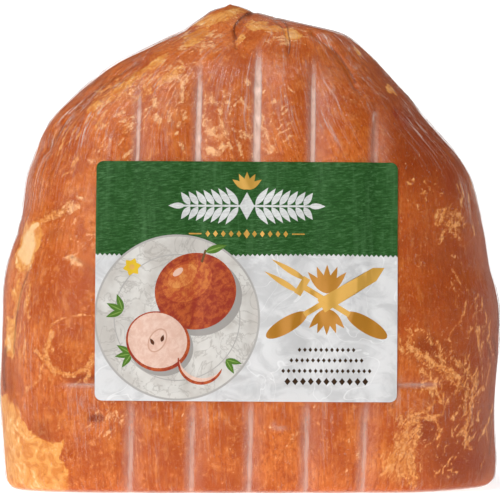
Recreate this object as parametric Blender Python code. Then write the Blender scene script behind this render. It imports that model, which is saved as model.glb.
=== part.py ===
"""A half ham sealed tight in clear film, standing on its flat cut face, with a label on its front.

Blender 4.5. Lengths are in millimetres until a mesh is written, and in metres from there on.
+Z is up, the label faces -Y, and the origin lies on the surface that the ham stands on, under the
middle of its box.

The ham is a stack of level sections. Each section is a rounded box whose reach to the left, right,
front and back is read from smooth curves over the height. Relief is then laid on that plain body
along its normals: the grooves that the smoking rack's bars pressed in, the mark of its cross wire,
the seams between muscles, and the folds of the film.
"""

import bpy
import numpy as np
from mathutils import Vector, noise
from mathutils.bvhtree import BVHTree
from mathutils.geometry import delaunay_2d_cdt

MM = 0.001

# Driving dimensions, in millimetres
HEIGHT = 198.5
WIDTH = 205.0
DEPTH = 114.5
EDGE_ROUND = 3.0
RIGHT_LIFT = 1.3
BAR_PITCH = 24.0
BAR_DEPTH = 2.6
WIRE_HEIGHT = 43.6
WIRE_DEPTH = 1.1
WIRE_HALF_WIDTH = 1.8
WIRE_REACH = 75.0
FOLD_DEPTH = 0.45
LUMP_SIZE = 34.0
LUMP_DEPTH = 1.3
LABEL_WIDTH = 120.2
LABEL_HEIGHT = 95.4
LABEL_CENTRE = (-1.5, 84.6)
LABEL_CORNER = 3.2
LABEL_THICKNESS = 0.5
LABEL_GAP = 0.58
LABEL_BRIDGING = 0.35

# Reach of the outline as shares of half the width: (share of the height, left, right)
OUTLINE = (
    (0.000, 0.962, 0.964),
    (0.040, 0.978, 0.979),
    (0.180, 1.000, 0.977),
    (0.285, 0.996, 0.990),
    (0.355, 0.989, 0.995),
    (0.405, 0.982, 0.980),
    (0.455, 0.966, 0.953),
    (0.515, 0.938, 0.939),
    (0.545, 0.930, 0.931),
    (0.575, 0.909, 0.922),
    (0.635, 0.887, 0.890),
    (0.680, 0.853, 0.836),
    (0.720, 0.827, 0.769),
    (0.760, 0.783, 0.706),
    (0.800, 0.715, 0.648),
    (0.842, 0.626, 0.572),
    (0.882, 0.521, 0.501),
    (0.916, 0.372, 0.438),
    (0.937, 0.273, 0.374),
    (0.953, 0.232, 0.242),
    (0.968, 0.190, 0.116),
    (0.983, 0.153, 0.012),
    (0.993, 0.103, -0.038),
    (1.000, 0.084, -0.084),
)
# Reach to the front and back as shares of half the depth: (share of the height, front, back)
SIDE_PROFILE = (
    (0.00, 0.925, 0.93),
    (0.10, 0.975, 0.97),
    (0.30, 1.000, 1.00),
    (0.50, 0.993, 0.96),
    (0.63, 0.960, 0.90),
    (0.73, 0.900, 0.80),
    (0.81, 0.805, 0.67),
    (0.86, 0.710, 0.56),
    (0.90, 0.585, 0.44),
    (0.94, 0.420, 0.31),
    (0.97, 0.265, 0.19),
    (0.99, 0.130, 0.09),
    (1.00, 0.000, 0.00),
)
# Each section's corners, as the power of a superellipse: 2 is an oval, and more is boxier
FRONT_POWER = 3.5
BACK_POWER = 2.5
TOP_POWER = 2.2

# Where each rack bar's groove lies across the front, at the foot and at BARS_MEASURED_AT, and where it ends
BARS_AT_FOOT = (-48.1, -23.5, -0.4, 22.1, 44.9)
BARS_ABOVE = (-44.3, -20.1, 3.4, 25.8, 51.9)
BARS_MEASURED_AT = 170.0
BAR_ENDS = (160.0, 168.0, 174.0, 169.0, 150.0)
BACK_BAR_SHIFT = 7.0
BACK_BAR_SHARE = 0.5
BAR_FADE = 9.0

# Seams and folds in the front, as (way across the front in x and z, depth, half width)
SEAMS = (
    (((-43.0, 174.0), (-58.6, 164.5), (-67.8, 156.9), (-74.2, 148.9), (-82.0, 138.0)), 2.2, 2.6),
    (((1.5, 195.0), (-3.0, 189.7), (-6.2, 186.0), (-5.0, 179.3)), 1.8, 1.8),
    (((10.2, 191.5), (14.0, 187.5), (15.8, 181.0), (15.4, 175.7)), 1.0, 1.4),
    (((25.8, 185.5), (31.4, 181.3), (35.0, 177.3), (39.8, 170.1), (42.5, 163.0)), 1.4, 1.8),
    (((-96.0, 112.0), (-91.0, 96.0), (-94.5, 78.0), (-96.5, 58.0), (-94.0, 40.0)), 1.5, 3.0),
    (((-61.0, 31.0), (-66.0, 23.0), (-72.0, 16.5)), 1.6, 3.0),
)
# Hollows in the front, as (x, z, radius, depth)
HOLLOWS = ((-62.0, 31.5, 5.0, 1.8), (-78.0, 60.0, 16.0, -1.0), (84.0, 30.0, 14.0, -0.9))

# How finely the body is laid out before it is thinned to SHELL_FACES triangles
FRONT_COLUMNS = 168
BACK_COLUMNS = 84
WALL_RINGS = 150
ROUND_RINGS = 5
CAP_SHARES = (0.82, 0.55, 0.27)
SHELL_FACES = 8200
LABEL_SPACING = 4.6
LABEL_CORNER_STEPS = 5

FILM_COLOUR = (0.52, 0.145, 0.035, 1.0)
LABEL_COLOUR = (0.62, 0.62, 0.60, 1.0)


def clear_scene():
    for item in list(bpy.data.objects):
        bpy.data.objects.remove(item)


def material(name, colour, roughness):
    made = bpy.data.materials.new(name)
    made.use_nodes = True
    shader = made.node_tree.nodes["Principled BSDF"]
    shader.inputs["Base Color"].default_value = colour
    shader.inputs["Roughness"].default_value = roughness
    shader.inputs["Metallic"].default_value = 0.0
    return made


def smooth_step(low, high, value):
    t = np.clip((value - low) / (high - low), 0.0, 1.0)
    return t * t * (3.0 - 2.0 * t)


def smooth_curve(points, steps=24):
    """A Catmull-Rom curve through the points, as an array with steps rows for each stretch."""
    p = np.array(points, float)
    p = np.vstack([2 * p[0] - p[1], p, 2 * p[-1] - p[-2]])
    t = np.linspace(0.0, 1.0, steps, endpoint=False)[:, None]
    rows = []
    for a, b, c, d in zip(p[:-3], p[1:-2], p[2:-1], p[3:]):
        bend = 2 * a - 5 * b + 4 * c - d
        twist = -a + 3 * b - 3 * c + d
        rows.append(0.5 * (2 * b + (c - a) * t + bend * t**2 + twist * t**3))
    return np.vstack([*rows, p[-2:-1]])


def read_curve(table, size, at):
    """Each column of the table after its first, read over the first, which is a share of the height."""
    rows = smooth_curve(table)
    order = np.argsort(rows[:, 0], kind="stable")
    rows = rows[order]
    return [np.interp(at / HEIGHT, rows[:, 0], rows[:, k]) * size / 2 for k in range(1, rows.shape[1])]


def reach(heights):
    """Left, right, front and back of the body at these heights."""
    left, right = read_curve(OUTLINE, WIDTH, heights)
    front, back = read_curve(SIDE_PROFILE, DEPTH, heights)
    return -left, right, -front, back


def unit_section(front_power, back_power):
    """A loop of unit reach, evenly spaced along its length, from the left over the front to the right."""
    turn = np.linspace(0.0, np.pi, 4000)
    halves = []
    for power, side, count in ((front_power, -1, FRONT_COLUMNS), (back_power, 1, BACK_COLUMNS)):
        across = -np.sign(np.cos(turn)) * np.abs(np.cos(turn)) ** (2 / power)
        out = np.abs(np.sin(turn)) ** (2 / power)
        steps = np.hypot(np.diff(across) * WIDTH, np.diff(out) * DEPTH)
        along = np.concatenate([[0.0], np.cumsum(steps)])
        wanted = np.linspace(0.0, along[-1], count, endpoint=False)
        x = np.interp(wanted, along, across) * -side
        y = np.interp(wanted, along, out) * side
        halves.append(np.stack([x, y], axis=1))
    return np.vstack(halves)


def ring_heights():
    """Heights of the wall's rings, closer together where the top rounds over."""
    fine = np.linspace(EDGE_ROUND, HEIGHT - 0.35, 4000)
    left, right, front, _ = reach(fine)
    steps = np.sqrt(
        np.diff(fine) ** 2 + np.maximum.reduce([np.diff(left) ** 2, np.diff(right) ** 2, np.diff(front) ** 2])
    )
    along = np.concatenate([[0.0], np.cumsum(steps)])
    return np.interp(np.linspace(0.0, along[-1], WALL_RINGS), along, fine)


def plain_body():
    """Points of the plain body, ring by ring, and how far each faces the front, from -1 to 1."""
    turn = np.linspace(0.0, np.pi / 2, ROUND_RINGS, endpoint=False)
    heights = np.concatenate([EDGE_ROUND * (1 - np.cos(turn)), ring_heights()])
    inset = np.concatenate([EDGE_ROUND * (1 - np.sin(turn)), np.zeros(WALL_RINGS)])
    left, right, front, back = (side[:, None] for side in reach(heights))
    boxy, oval = unit_section(FRONT_POWER, BACK_POWER), unit_section(TOP_POWER, TOP_POWER)
    to_oval = smooth_step(0.72 * HEIGHT, 0.97 * HEIGHT, heights)[:, None, None]
    section = boxy * (1 - to_oval) + oval * to_oval
    half_width = (right - left) / 2 - inset[:, None]
    facing = -section[:, :, 1]
    x = (left + right) / 2 + section[:, :, 0] * half_width
    deep = np.where(facing > 0, -front, back) - inset[:, None]
    y = section[:, :, 1] * deep
    z = np.repeat(heights[:, None], x.shape[1], axis=1)
    return np.stack([x, y, z], axis=2), facing


def normals_of(grid):
    """Outward normals of the rings' points, level at the foot."""
    around = np.roll(grid, -1, axis=1) - np.roll(grid, 1, axis=1)
    up = np.gradient(grid, axis=0)
    out = np.cross(around, up)
    out[:, :, 2] *= smooth_step(EDGE_ROUND, 8 * EDGE_ROUND, grid[:, :, 2])
    return out / np.linalg.norm(out, axis=2, keepdims=True)


def path_distance(x, z, path):
    """Distance from each place on the front to the nearest stretch of the path."""
    nearest = np.full(x.shape, np.inf)
    for (ax, az), (bx, bz) in zip(path[:-1], path[1:]):
        dx, dz = bx - ax, bz - az
        share = np.clip(((x - ax) * dx + (z - az) * dz) / (dx * dx + dz * dz), 0.0, 1.0)
        nearest = np.minimum(nearest, np.hypot(x - ax - share * dx, z - az - share * dz))
    return nearest


def bar_dip(x, z, shift, softness):
    """Depth of the rack bars' grooves, from 0 between the bars to 1 in a groove's middle."""
    dip = np.zeros(x.shape)
    at_wire = 1 - 0.8 * np.exp(-(((z - WIRE_HEIGHT) / WIRE_HALF_WIDTH + 2.8) / 2.8) ** 2)
    for foot, above, end in zip(BARS_AT_FOOT, BARS_ABOVE, BAR_ENDS):
        middle = foot + (above - foot) * z / BARS_MEASURED_AT + shift
        away = np.hypot((x - middle) / (BAR_PITCH / 2), softness)
        shape = np.clip(1 - away, 0.0, 1.0) ** 2
        dip = np.maximum(dip, shape * smooth_step(end + BAR_FADE, end - BAR_FADE, z))
    return dip * at_wire


def shoulder_folds(x, z):
    """Ridges of the film that follow the outline over both shoulders, from -1 to 1."""
    left, right, _, _ = reach(z)
    middle, half = (left + right) / 2, (right - left) / 2
    inward = (1 - np.abs(x - middle) / half) * half
    steep = smooth_step(0.97 * HEIGHT, 0.75 * HEIGHT, z)
    band = smooth_step(30.0, 14.0, inward) * smooth_step(0.5 * HEIGHT, 0.66 * HEIGHT, z)
    return np.sin(inward * (0.55 + 0.5 * steep) + 0.08 * z) * band


def relief(grid, facing):
    """How far the film stands out from the plain body, in millimetres."""
    x, z = grid[:, :, 0], grid[:, :, 2]
    on_front = smooth_step(0.12, 0.5, facing)
    on_back = smooth_step(0.3, 0.7, -facing)
    out = -BAR_DEPTH * bar_dip(x, z, 0.0, 0.1) * on_front
    out -= BAR_DEPTH * BACK_BAR_SHARE * bar_dip(x, z, BACK_BAR_SHIFT, 0.16) * on_back
    wire = np.exp(-(((z - WIRE_HEIGHT) / WIRE_HALF_WIDTH) ** 2))
    out -= WIRE_DEPTH * wire * smooth_step(1.12 * WIRE_REACH, 0.88 * WIRE_REACH, np.abs(x)) * on_front
    for path, depth, half_width in SEAMS:
        out -= depth * np.exp(-((path_distance(x, z, path) / half_width) ** 2)) * smooth_step(0.0, 0.2, facing)
    for middle_x, middle_z, radius, depth in HOLLOWS:
        away = np.hypot(x - middle_x, z - middle_z) / radius
        out -= depth * np.exp(-(away**2)) * on_front
    out += FOLD_DEPTH * shoulder_folds(x, z)
    lumps = np.array([noise.noise(Vector(p)) for p in (grid.reshape(-1, 3) / LUMP_SIZE).tolist()])
    out += LUMP_DEPTH * lumps.reshape(x.shape) * smooth_step(0.0, LUMP_SIZE / 2, z)
    return out * smooth_step(HEIGHT, HEIGHT - 2 * BAR_DEPTH, z)


def shell_points():
    """All points of the film's outer surface and the triangles and quads between them."""
    grid, facing = plain_body()
    body = grid + normals_of(grid) * relief(grid, facing)[:, :, None]
    body[0, :, 2] = 0.0
    rings, columns = body.shape[:2]
    middle = body[0].mean(axis=0)
    caps = [middle + (body[0] - middle) * share for share in CAP_SHARES]
    stack = np.vstack([*reversed(caps), *body])
    lift = RIGHT_LIFT * smooth_step(62.0, 104.0, stack[:, 0]) * smooth_step(24.0, 0.0, stack[:, 2])
    stack[:, 2] += lift
    tip = body[-1].mean(axis=0)
    tip[2] = HEIGHT
    points = np.vstack([stack, middle, tip])
    faces = []
    total = rings + len(CAP_SHARES)
    for row in range(total - 1):
        for column in range(columns):
            after = (column + 1) % columns
            low, high = row * columns, (row + 1) * columns
            faces.append((low + column, low + after, high + after, high + column))
    last = (total - 1) * columns
    for column in range(columns):
        after = (column + 1) % columns
        faces.append((after, column, total * columns))
        faces.append((last + column, last + after, total * columns + 1))
    return points, faces


def add_object(name, points, faces, look):
    mesh = bpy.data.meshes.new(name)
    mesh.from_pydata((np.asarray(points) * MM).tolist(), [], faces)
    mesh.materials.append(look)
    mesh.update()
    made = bpy.data.objects.new(name, mesh)
    bpy.context.scene.collection.objects.link(made)
    return made


def thinned(full, faces_wanted):
    """The object's mesh with about that many triangles, most of them where it bends."""
    full.data.calc_loop_triangles()
    thin = full.modifiers.new("thin", "DECIMATE")
    thin.ratio = faces_wanted / len(full.data.loop_triangles)
    thin.use_collapse_triangulate = True
    graph = bpy.context.evaluated_depsgraph_get()
    return bpy.data.meshes.new_from_object(full.evaluated_get(graph))


def make_ham(look):
    """The ham in its film, as one closed solid that stands on a level face."""
    points, faces = shell_points()
    ham = add_object("ham_in_film", points, faces, look)
    mesh = thinned(ham, SHELL_FACES)
    ham.modifiers.clear()
    ham.data = mesh
    for vertex in mesh.vertices:
        if vertex.co.z < 0.05 * MM:
            vertex.co.z = 0.0
    mesh.shade_smooth()
    mesh.set_sharp_from_angle(angle=np.radians(40))
    return ham


def label_outline():
    """The label's rounded outline, in x and z about its middle."""
    corner = np.linspace(0.0, np.pi / 2, LABEL_CORNER_STEPS)
    half = (LABEL_WIDTH / 2 - LABEL_CORNER, LABEL_HEIGHT / 2 - LABEL_CORNER)
    points = []
    for quarter, (sign_x, sign_z) in enumerate(((1, 1), (-1, 1), (-1, -1), (1, -1))):
        turn = corner + quarter * np.pi / 2
        x = sign_x * half[0] + LABEL_CORNER * np.cos(turn)
        z = sign_z * half[1] + LABEL_CORNER * np.sin(turn)
        points.extend(zip(x, z))
    return points


def label_sheet():
    """Points and triangles of the flat label, and the points along its edge in order."""
    edge = label_outline()
    closed = [*edge, edge[0]]
    rim = []
    for (ax, az), (bx, bz) in zip(closed[:-1], closed[1:]):
        steps = max(1, round(np.hypot(bx - ax, bz - az) / LABEL_SPACING))
        rim.extend((ax + (bx - ax) * k / steps, az + (bz - az) * k / steps) for k in range(steps))
    inside = [
        (x, z)
        for x in np.arange(-LABEL_WIDTH / 2 + 4.0, LABEL_WIDTH / 2 - 3.0, LABEL_SPACING)
        for z in np.arange(-LABEL_HEIGHT / 2 + 4.0, LABEL_HEIGHT / 2 - 3.0, LABEL_SPACING)
    ]
    loop = [list(range(len(rim)))]
    points, _, faces, _, _, _ = delaunay_2d_cdt([Vector(p) for p in (*rim, *inside)], [], loop, 1, 1e-6)
    return np.array(points), [tuple(f) for f in faces], list(range(len(rim)))


def front_of(tree, x, z):
    """Where the front of the ham is at this place, looking along +Y."""
    hit, _, _, _ = tree.ray_cast(Vector((x, -DEPTH, z)) * MM, Vector((0.0, 1.0, 0.0)))
    return hit.y / MM


def label_lie(tree, flat):
    """The y of the label's back at each flat point: it half bridges the grooves, and never enters the ham."""
    lie = []
    for x, z in flat + np.array(LABEL_CENTRE):
        around = [front_of(tree, x + step, z + lift) for step in (-5, -2.5, 0, 2.5, 5) for lift in (-3, 0, 3)]
        lie.append((1 - LABEL_BRIDGING) * front_of(tree, x, z) + LABEL_BRIDGING * min(around))
    return np.array(lie)


def make_label(ham, look):
    """The label, a thin plate that follows the front of the ham just clear of it."""
    tree = BVHTree.FromPolygons([v.co for v in ham.data.vertices], [p.vertices for p in ham.data.polygons])
    flat, faces, rim = label_sheet()
    back = label_lie(tree, flat) - LABEL_GAP
    place = flat + np.array(LABEL_CENTRE)
    behind = np.stack([place[:, 0], back, place[:, 1]], axis=1)
    ahead = behind - np.array([0.0, LABEL_THICKNESS, 0.0])
    count = len(flat)
    solid = [tuple(f) for f in faces]
    solid += [tuple(i + count for i in reversed(f)) for f in faces]
    for a, b in zip(rim, rim[1:] + rim[:1]):
        solid.append((b, a, a + count, b + count))
    label = add_object("label", np.vstack([ahead, behind]), solid, look)
    label.data.shade_smooth()
    label.data.set_sharp_from_angle(angle=np.radians(30))
    return label


def centre(objects):
    """Moves the meshes so that the origin is under the middle of their common box."""
    points = np.array([v.co for item in objects for v in item.data.vertices])
    middle = (points.min(axis=0) + points.max(axis=0)) / 2
    for item in objects:
        for vertex in item.data.vertices:
            vertex.co.x -= middle[0]
            vertex.co.y -= middle[1]


def main():
    clear_scene()
    ham = make_ham(material("ham_in_film", FILM_COLOUR, 0.3))
    label = make_label(ham, material("label_print", LABEL_COLOUR, 0.45))
    centre([ham, label])


main()
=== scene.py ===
"""Looks for a half ham sealed tight in clear film, with a printed label on its front.

Three pieces stand for the frame's two nodes: the ham itself, the film drawn tight around it, and the
label. Lengths are in millimetres until a mesh is written, and in metres from there on. The ham's
form is worked out as the frame's solid was: level sections whose reach is read from smooth curves,
with relief laid along their normals. The film takes that form, and the ham lies just inside it.
"""

import bpy
import numpy as np
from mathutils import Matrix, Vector, noise
from mathutils.bvhtree import BVHTree
from mathutils.geometry import delaunay_2d_cdt

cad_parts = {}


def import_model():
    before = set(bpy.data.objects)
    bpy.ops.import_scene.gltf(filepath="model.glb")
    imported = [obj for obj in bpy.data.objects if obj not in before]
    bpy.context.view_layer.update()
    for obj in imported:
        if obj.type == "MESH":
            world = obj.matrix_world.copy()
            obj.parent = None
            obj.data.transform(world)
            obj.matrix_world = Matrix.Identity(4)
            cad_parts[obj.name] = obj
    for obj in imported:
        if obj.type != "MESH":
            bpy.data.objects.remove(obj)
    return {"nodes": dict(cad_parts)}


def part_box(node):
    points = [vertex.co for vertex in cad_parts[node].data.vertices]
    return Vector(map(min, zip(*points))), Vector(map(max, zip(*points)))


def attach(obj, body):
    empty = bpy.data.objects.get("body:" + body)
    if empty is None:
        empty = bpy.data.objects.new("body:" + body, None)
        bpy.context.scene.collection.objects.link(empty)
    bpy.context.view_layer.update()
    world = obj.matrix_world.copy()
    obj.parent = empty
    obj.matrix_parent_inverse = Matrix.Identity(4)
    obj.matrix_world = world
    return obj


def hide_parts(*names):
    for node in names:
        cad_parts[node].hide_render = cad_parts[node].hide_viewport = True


MM = 0.001

# The body's form, in millimetres, as the frame's solid has it
HEIGHT = 198.5
WIDTH = 205.0
DEPTH = 114.5
EDGE_ROUND = 3.0
RIGHT_LIFT = 1.3
BAR_PITCH = 24.0
BAR_DEPTH = 2.6
WIRE_HEIGHT = 43.6
WIRE_DEPTH = 1.1
WIRE_HALF_WIDTH = 1.8
WIRE_REACH = 75.0
LUMP_SIZE = 34.0
LUMP_DEPTH = 1.3
OUTLINE = (
    (0, 0.962, 0.964), (0.04, 0.978, 0.979), (0.18, 1, 0.977), (0.285, 0.996, 0.99), (0.355, 0.989, 0.995),
    (0.405, 0.982, 0.98), (0.455, 0.966, 0.953), (0.515, 0.938, 0.939), (0.545, 0.93, 0.931),
    (0.575, 0.909, 0.922), (0.635, 0.887, 0.89), (0.68, 0.853, 0.836), (0.72, 0.827, 0.769),
    (0.76, 0.783, 0.706), (0.8, 0.715, 0.648), (0.842, 0.626, 0.572), (0.882, 0.521, 0.501),
    (0.916, 0.372, 0.438), (0.937, 0.273, 0.374), (0.953, 0.232, 0.242), (0.968, 0.19, 0.116),
    (0.983, 0.153, 0.012), (0.993, 0.103, -0.038), (1, 0.084, -0.084),
)
SIDE_PROFILE = (
    (0, 0.925, 0.93), (0.1, 0.975, 0.97), (0.3, 1, 1), (0.5, 0.993, 0.96), (0.63, 0.96, 0.9),
    (0.73, 0.9, 0.8), (0.81, 0.805, 0.67), (0.86, 0.71, 0.56), (0.9, 0.585, 0.44), (0.94, 0.42, 0.31),
    (0.97, 0.265, 0.19), (0.99, 0.13, 0.09), (1, 0, 0),
)
FRONT_POWER = 3.5
BACK_POWER = 2.5
TOP_POWER = 2.2
BARS_AT_FOOT = (-48.1, -23.5, -0.4, 22.1, 44.9)
BARS_ABOVE = (-44.3, -20.1, 3.4, 25.8, 51.9)
BARS_MEASURED_AT = 170.0
BAR_ENDS = (160.0, 168.0, 174.0, 169.0, 150.0)
BACK_BAR_SHIFT = 7.0
BACK_BAR_SHARE = 0.5
BAR_FADE = 9.0
SEAMS = (
    (((-43, 174), (-58.6, 164.5), (-67.8, 156.9), (-74.2, 148.9), (-82, 138)), 2.2, 2.6),
    (((1.5, 195), (-3, 189.7), (-6.2, 186), (-5, 179.3)), 1.4, 1),
    (((10.2, 191.5), (14, 187.5), (15.8, 181), (15.4, 175.7)), 0.8, 0.8),
    (((25.8, 185.5), (31.4, 181.3), (35, 177.3), (39.8, 170.1), (42.5, 163)), 1.2, 1.2),
    (((-96, 112), (-91, 96), (-94.5, 78), (-96.5, 58), (-94, 40)), 1.5, 3),
    (((-61, 31), (-66, 23), (-72, 16.5)), 1.6, 2.4),
)
HOLLOWS = ((-62.0, 31.5, 5.0, 1.8), (-78.0, 60.0, 16.0, -1.0), (84.0, 30.0, 14.0, -0.9))

# How finely the visual body is laid out
FRONT_COLUMNS = 370
BACK_COLUMNS = 130
WALL_RINGS = 285
ROUND_RINGS = 7
CAP_SHARES = (0.9, 0.75, 0.5, 0.25)

# Where each bar's groove whitens the film: half width and strength above the label, then below it
BAR_STRIPS = (
    (0.75, 0.62, 1.1, 0.44), (1.05, 0.74, 1.1, 0.44), (1.4, 0.78, 1.1, 0.46), (0.95, 0.64, 1, 0.42),
    (1.1, 0.32, 1, 0.4),
)
STRIPS_CHANGE_AT = (60.0, 110.0)
FILM_SHINE_LIMIT = 0.040
FILM_REFRACTION = 1.29
FILM_GAP = 0.12
NOTCH_DEPTH = 1.5
NOTCH_HALF_WIDTH = 1.3
MEAT_LIFT = 0.3
# How high the film's folds stand, and how milky their crests are, partly painted highlight: along the edges,
# in the pleats, in the tucks
FOLD_HEIGHTS = (0.44, 0.34, 0.14)
FOLD_MISTS_AND_HIGHLIGHTS = (0.36, 0.34, 0.16)

# Fat with a firm edge on the front, as outlines in x and z
FAT_AREAS = (
    (
        (-104, 38), (-98.3, 39.6), (-96.2, 34.9), (-93.3, 31.2), (-88.8, 25.6), (-84, 21.7), (-80, 19.7),
        (-76.4, 20.5), (-74.4, 21.7), (-75.2, 16.9), (-76.4, 14.1), (-74, 11.8), (-72.5, 8.2), (-73.2, -2),
        (-104, -2),
    ),
    (
        (-87.1, 109), (-85, 107.2), (-82.3, 103.1), (-84, 98), (-87, 94.9), (-91.7, 89.8), (-93.2, 88),
        (-95, 91.7), (-95, 96.3), (-93.2, 100.4), (-90.6, 104.9), (-88, 106.7),
    ),
    ((-99.5, 70), (-95.5, 69), (-94, 63), (-95, 57), (-97, 53), (-99.5, 55)),
)
# Softer fat on the front, as (x, z, half length, half width, turn in degrees, strength)
FAT_PATCHES = (
    (-14, 191.5, 11, 3, 14, 1), (-7, 194.5, 7, 2.6, 12, 0.75), (-21, 184.5, 8, 3.4, 30, 0.75),
    (-24.6, 180.5, 3.4, 2, 60, 0.9), (7, 187.2, 11, 1.5, -4, 1.05), (17.5, 185, 3.4, 2.4, -20, 1.1),
    (2, 189.6, 6, 1.4, 4, 0.8), (-4, 182, 4, 1.8, 35, 0.7), (-32, 168, 8, 2.6, 30, 0.62),
    (-40, 162, 6, 3.5, 50, 0.5), (44.3, 178.6, 2.6, 1.1, -45, 1.1), (57.5, 162.5, 3.2, 1.2, -50, 1),
    (-94.5, 79, 7, 2, 88, 0.75), (-50, 164, 17, 3.4, 40, 0.6), (-62.5, 155.5, 4.5, 2.4, 52, 0.72),
    (-38, 172.5, 7, 2.6, 36, 0.7), (-90, 98.5, 9, 4.2, 84, 1.5), (-87, 106, 3.4, 1.8, 30, 1.4),
    (64, 6, 6, 3, 10, 0.45),
)
# Flecks and streaks of fat on the front, as (x, z, half length, half width, turn in degrees)
FAT_FLECKS = (
    (-14.2, 157.2, 3.6, 0.65, -48), (-17.4, 156.8, 2.4, 0.4, -38), (-8.7, 155.6, 1.6, 0.45, -85),
    (-7.6, 151.8, 2, 0.5, 78), (-11.8, 153.2, 1.4, 1, 0), (-11.6, 147.8, 2.2, 1.2, -70),
    (-16.2, 144.4, 2.7, 1.5, -15), (-2.2, 156, 4.6, 0.8, -52), (-1, 165, 1.8, 1.2, -35),
    (-1.6, 143.2, 3.4, 0.8, -37), (-3.8, 137.8, 4, 0.8, -68), (-15.4, 136.6, 3.6, 1.5, -25),
    (2.9, 161.5, 1.2, 1, 0), (5, 160.9, 1.7, 0.6, 30), (9.2, 156.7, 1.4, 1, 40), (16.4, 161, 3.4, 0.4, -41),
    (14.2, 158.8, 0.7, 0.7, 0), (4.6, 150.6, 2, 0.9, -70), (8.5, 149, 1.7, 0.6, 80),
    (15.2, 141.3, 3.6, 0.6, 41), (6.5, 143.5, 3.4, 1.1, -60), (8.5, 137.5, 2.6, 1.3, 50),
    (-38.3, 156.7, 3, 1.6, -75), (-37.2, 150.2, 2.6, 1, -60), (-28, 159.5, 1.7, 0.9, -80),
    (-26, 150.6, 1.4, 1, 20), (-28.6, 147.2, 0.9, 0.8, 0), (-29.3, 144, 0.8, 0.8, 0),
    (-27.3, 138.6, 3.3, 0.6, -53), (-48.2, 147.4, 3.2, 0.55, 45), (-49, 135.8, 3.6, 0.9, 42),
    (-58.9, 146.4, 2.7, 0.8, 33), (-27.2, 161.5, 6.5, 0.4, 90), (-31.5, 166, 4, 1, 5),
    (-67.7, 118.1, 2.6, 0.8, -30), (-64.3, 103.5, 2.2, 0.6, -12), (-70.5, 113.6, 3, 1.4, 20),
    (-70, 93, 4.6, 1.6, -30), (18.5, 24.4, 0.7, 0.9, 0), (8.2, 26.8, 2, 0.5, -25), (-56, 31, 2.4, 1.3, 60),
    (-57, 24, 3, 0.8, 45),
)
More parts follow.
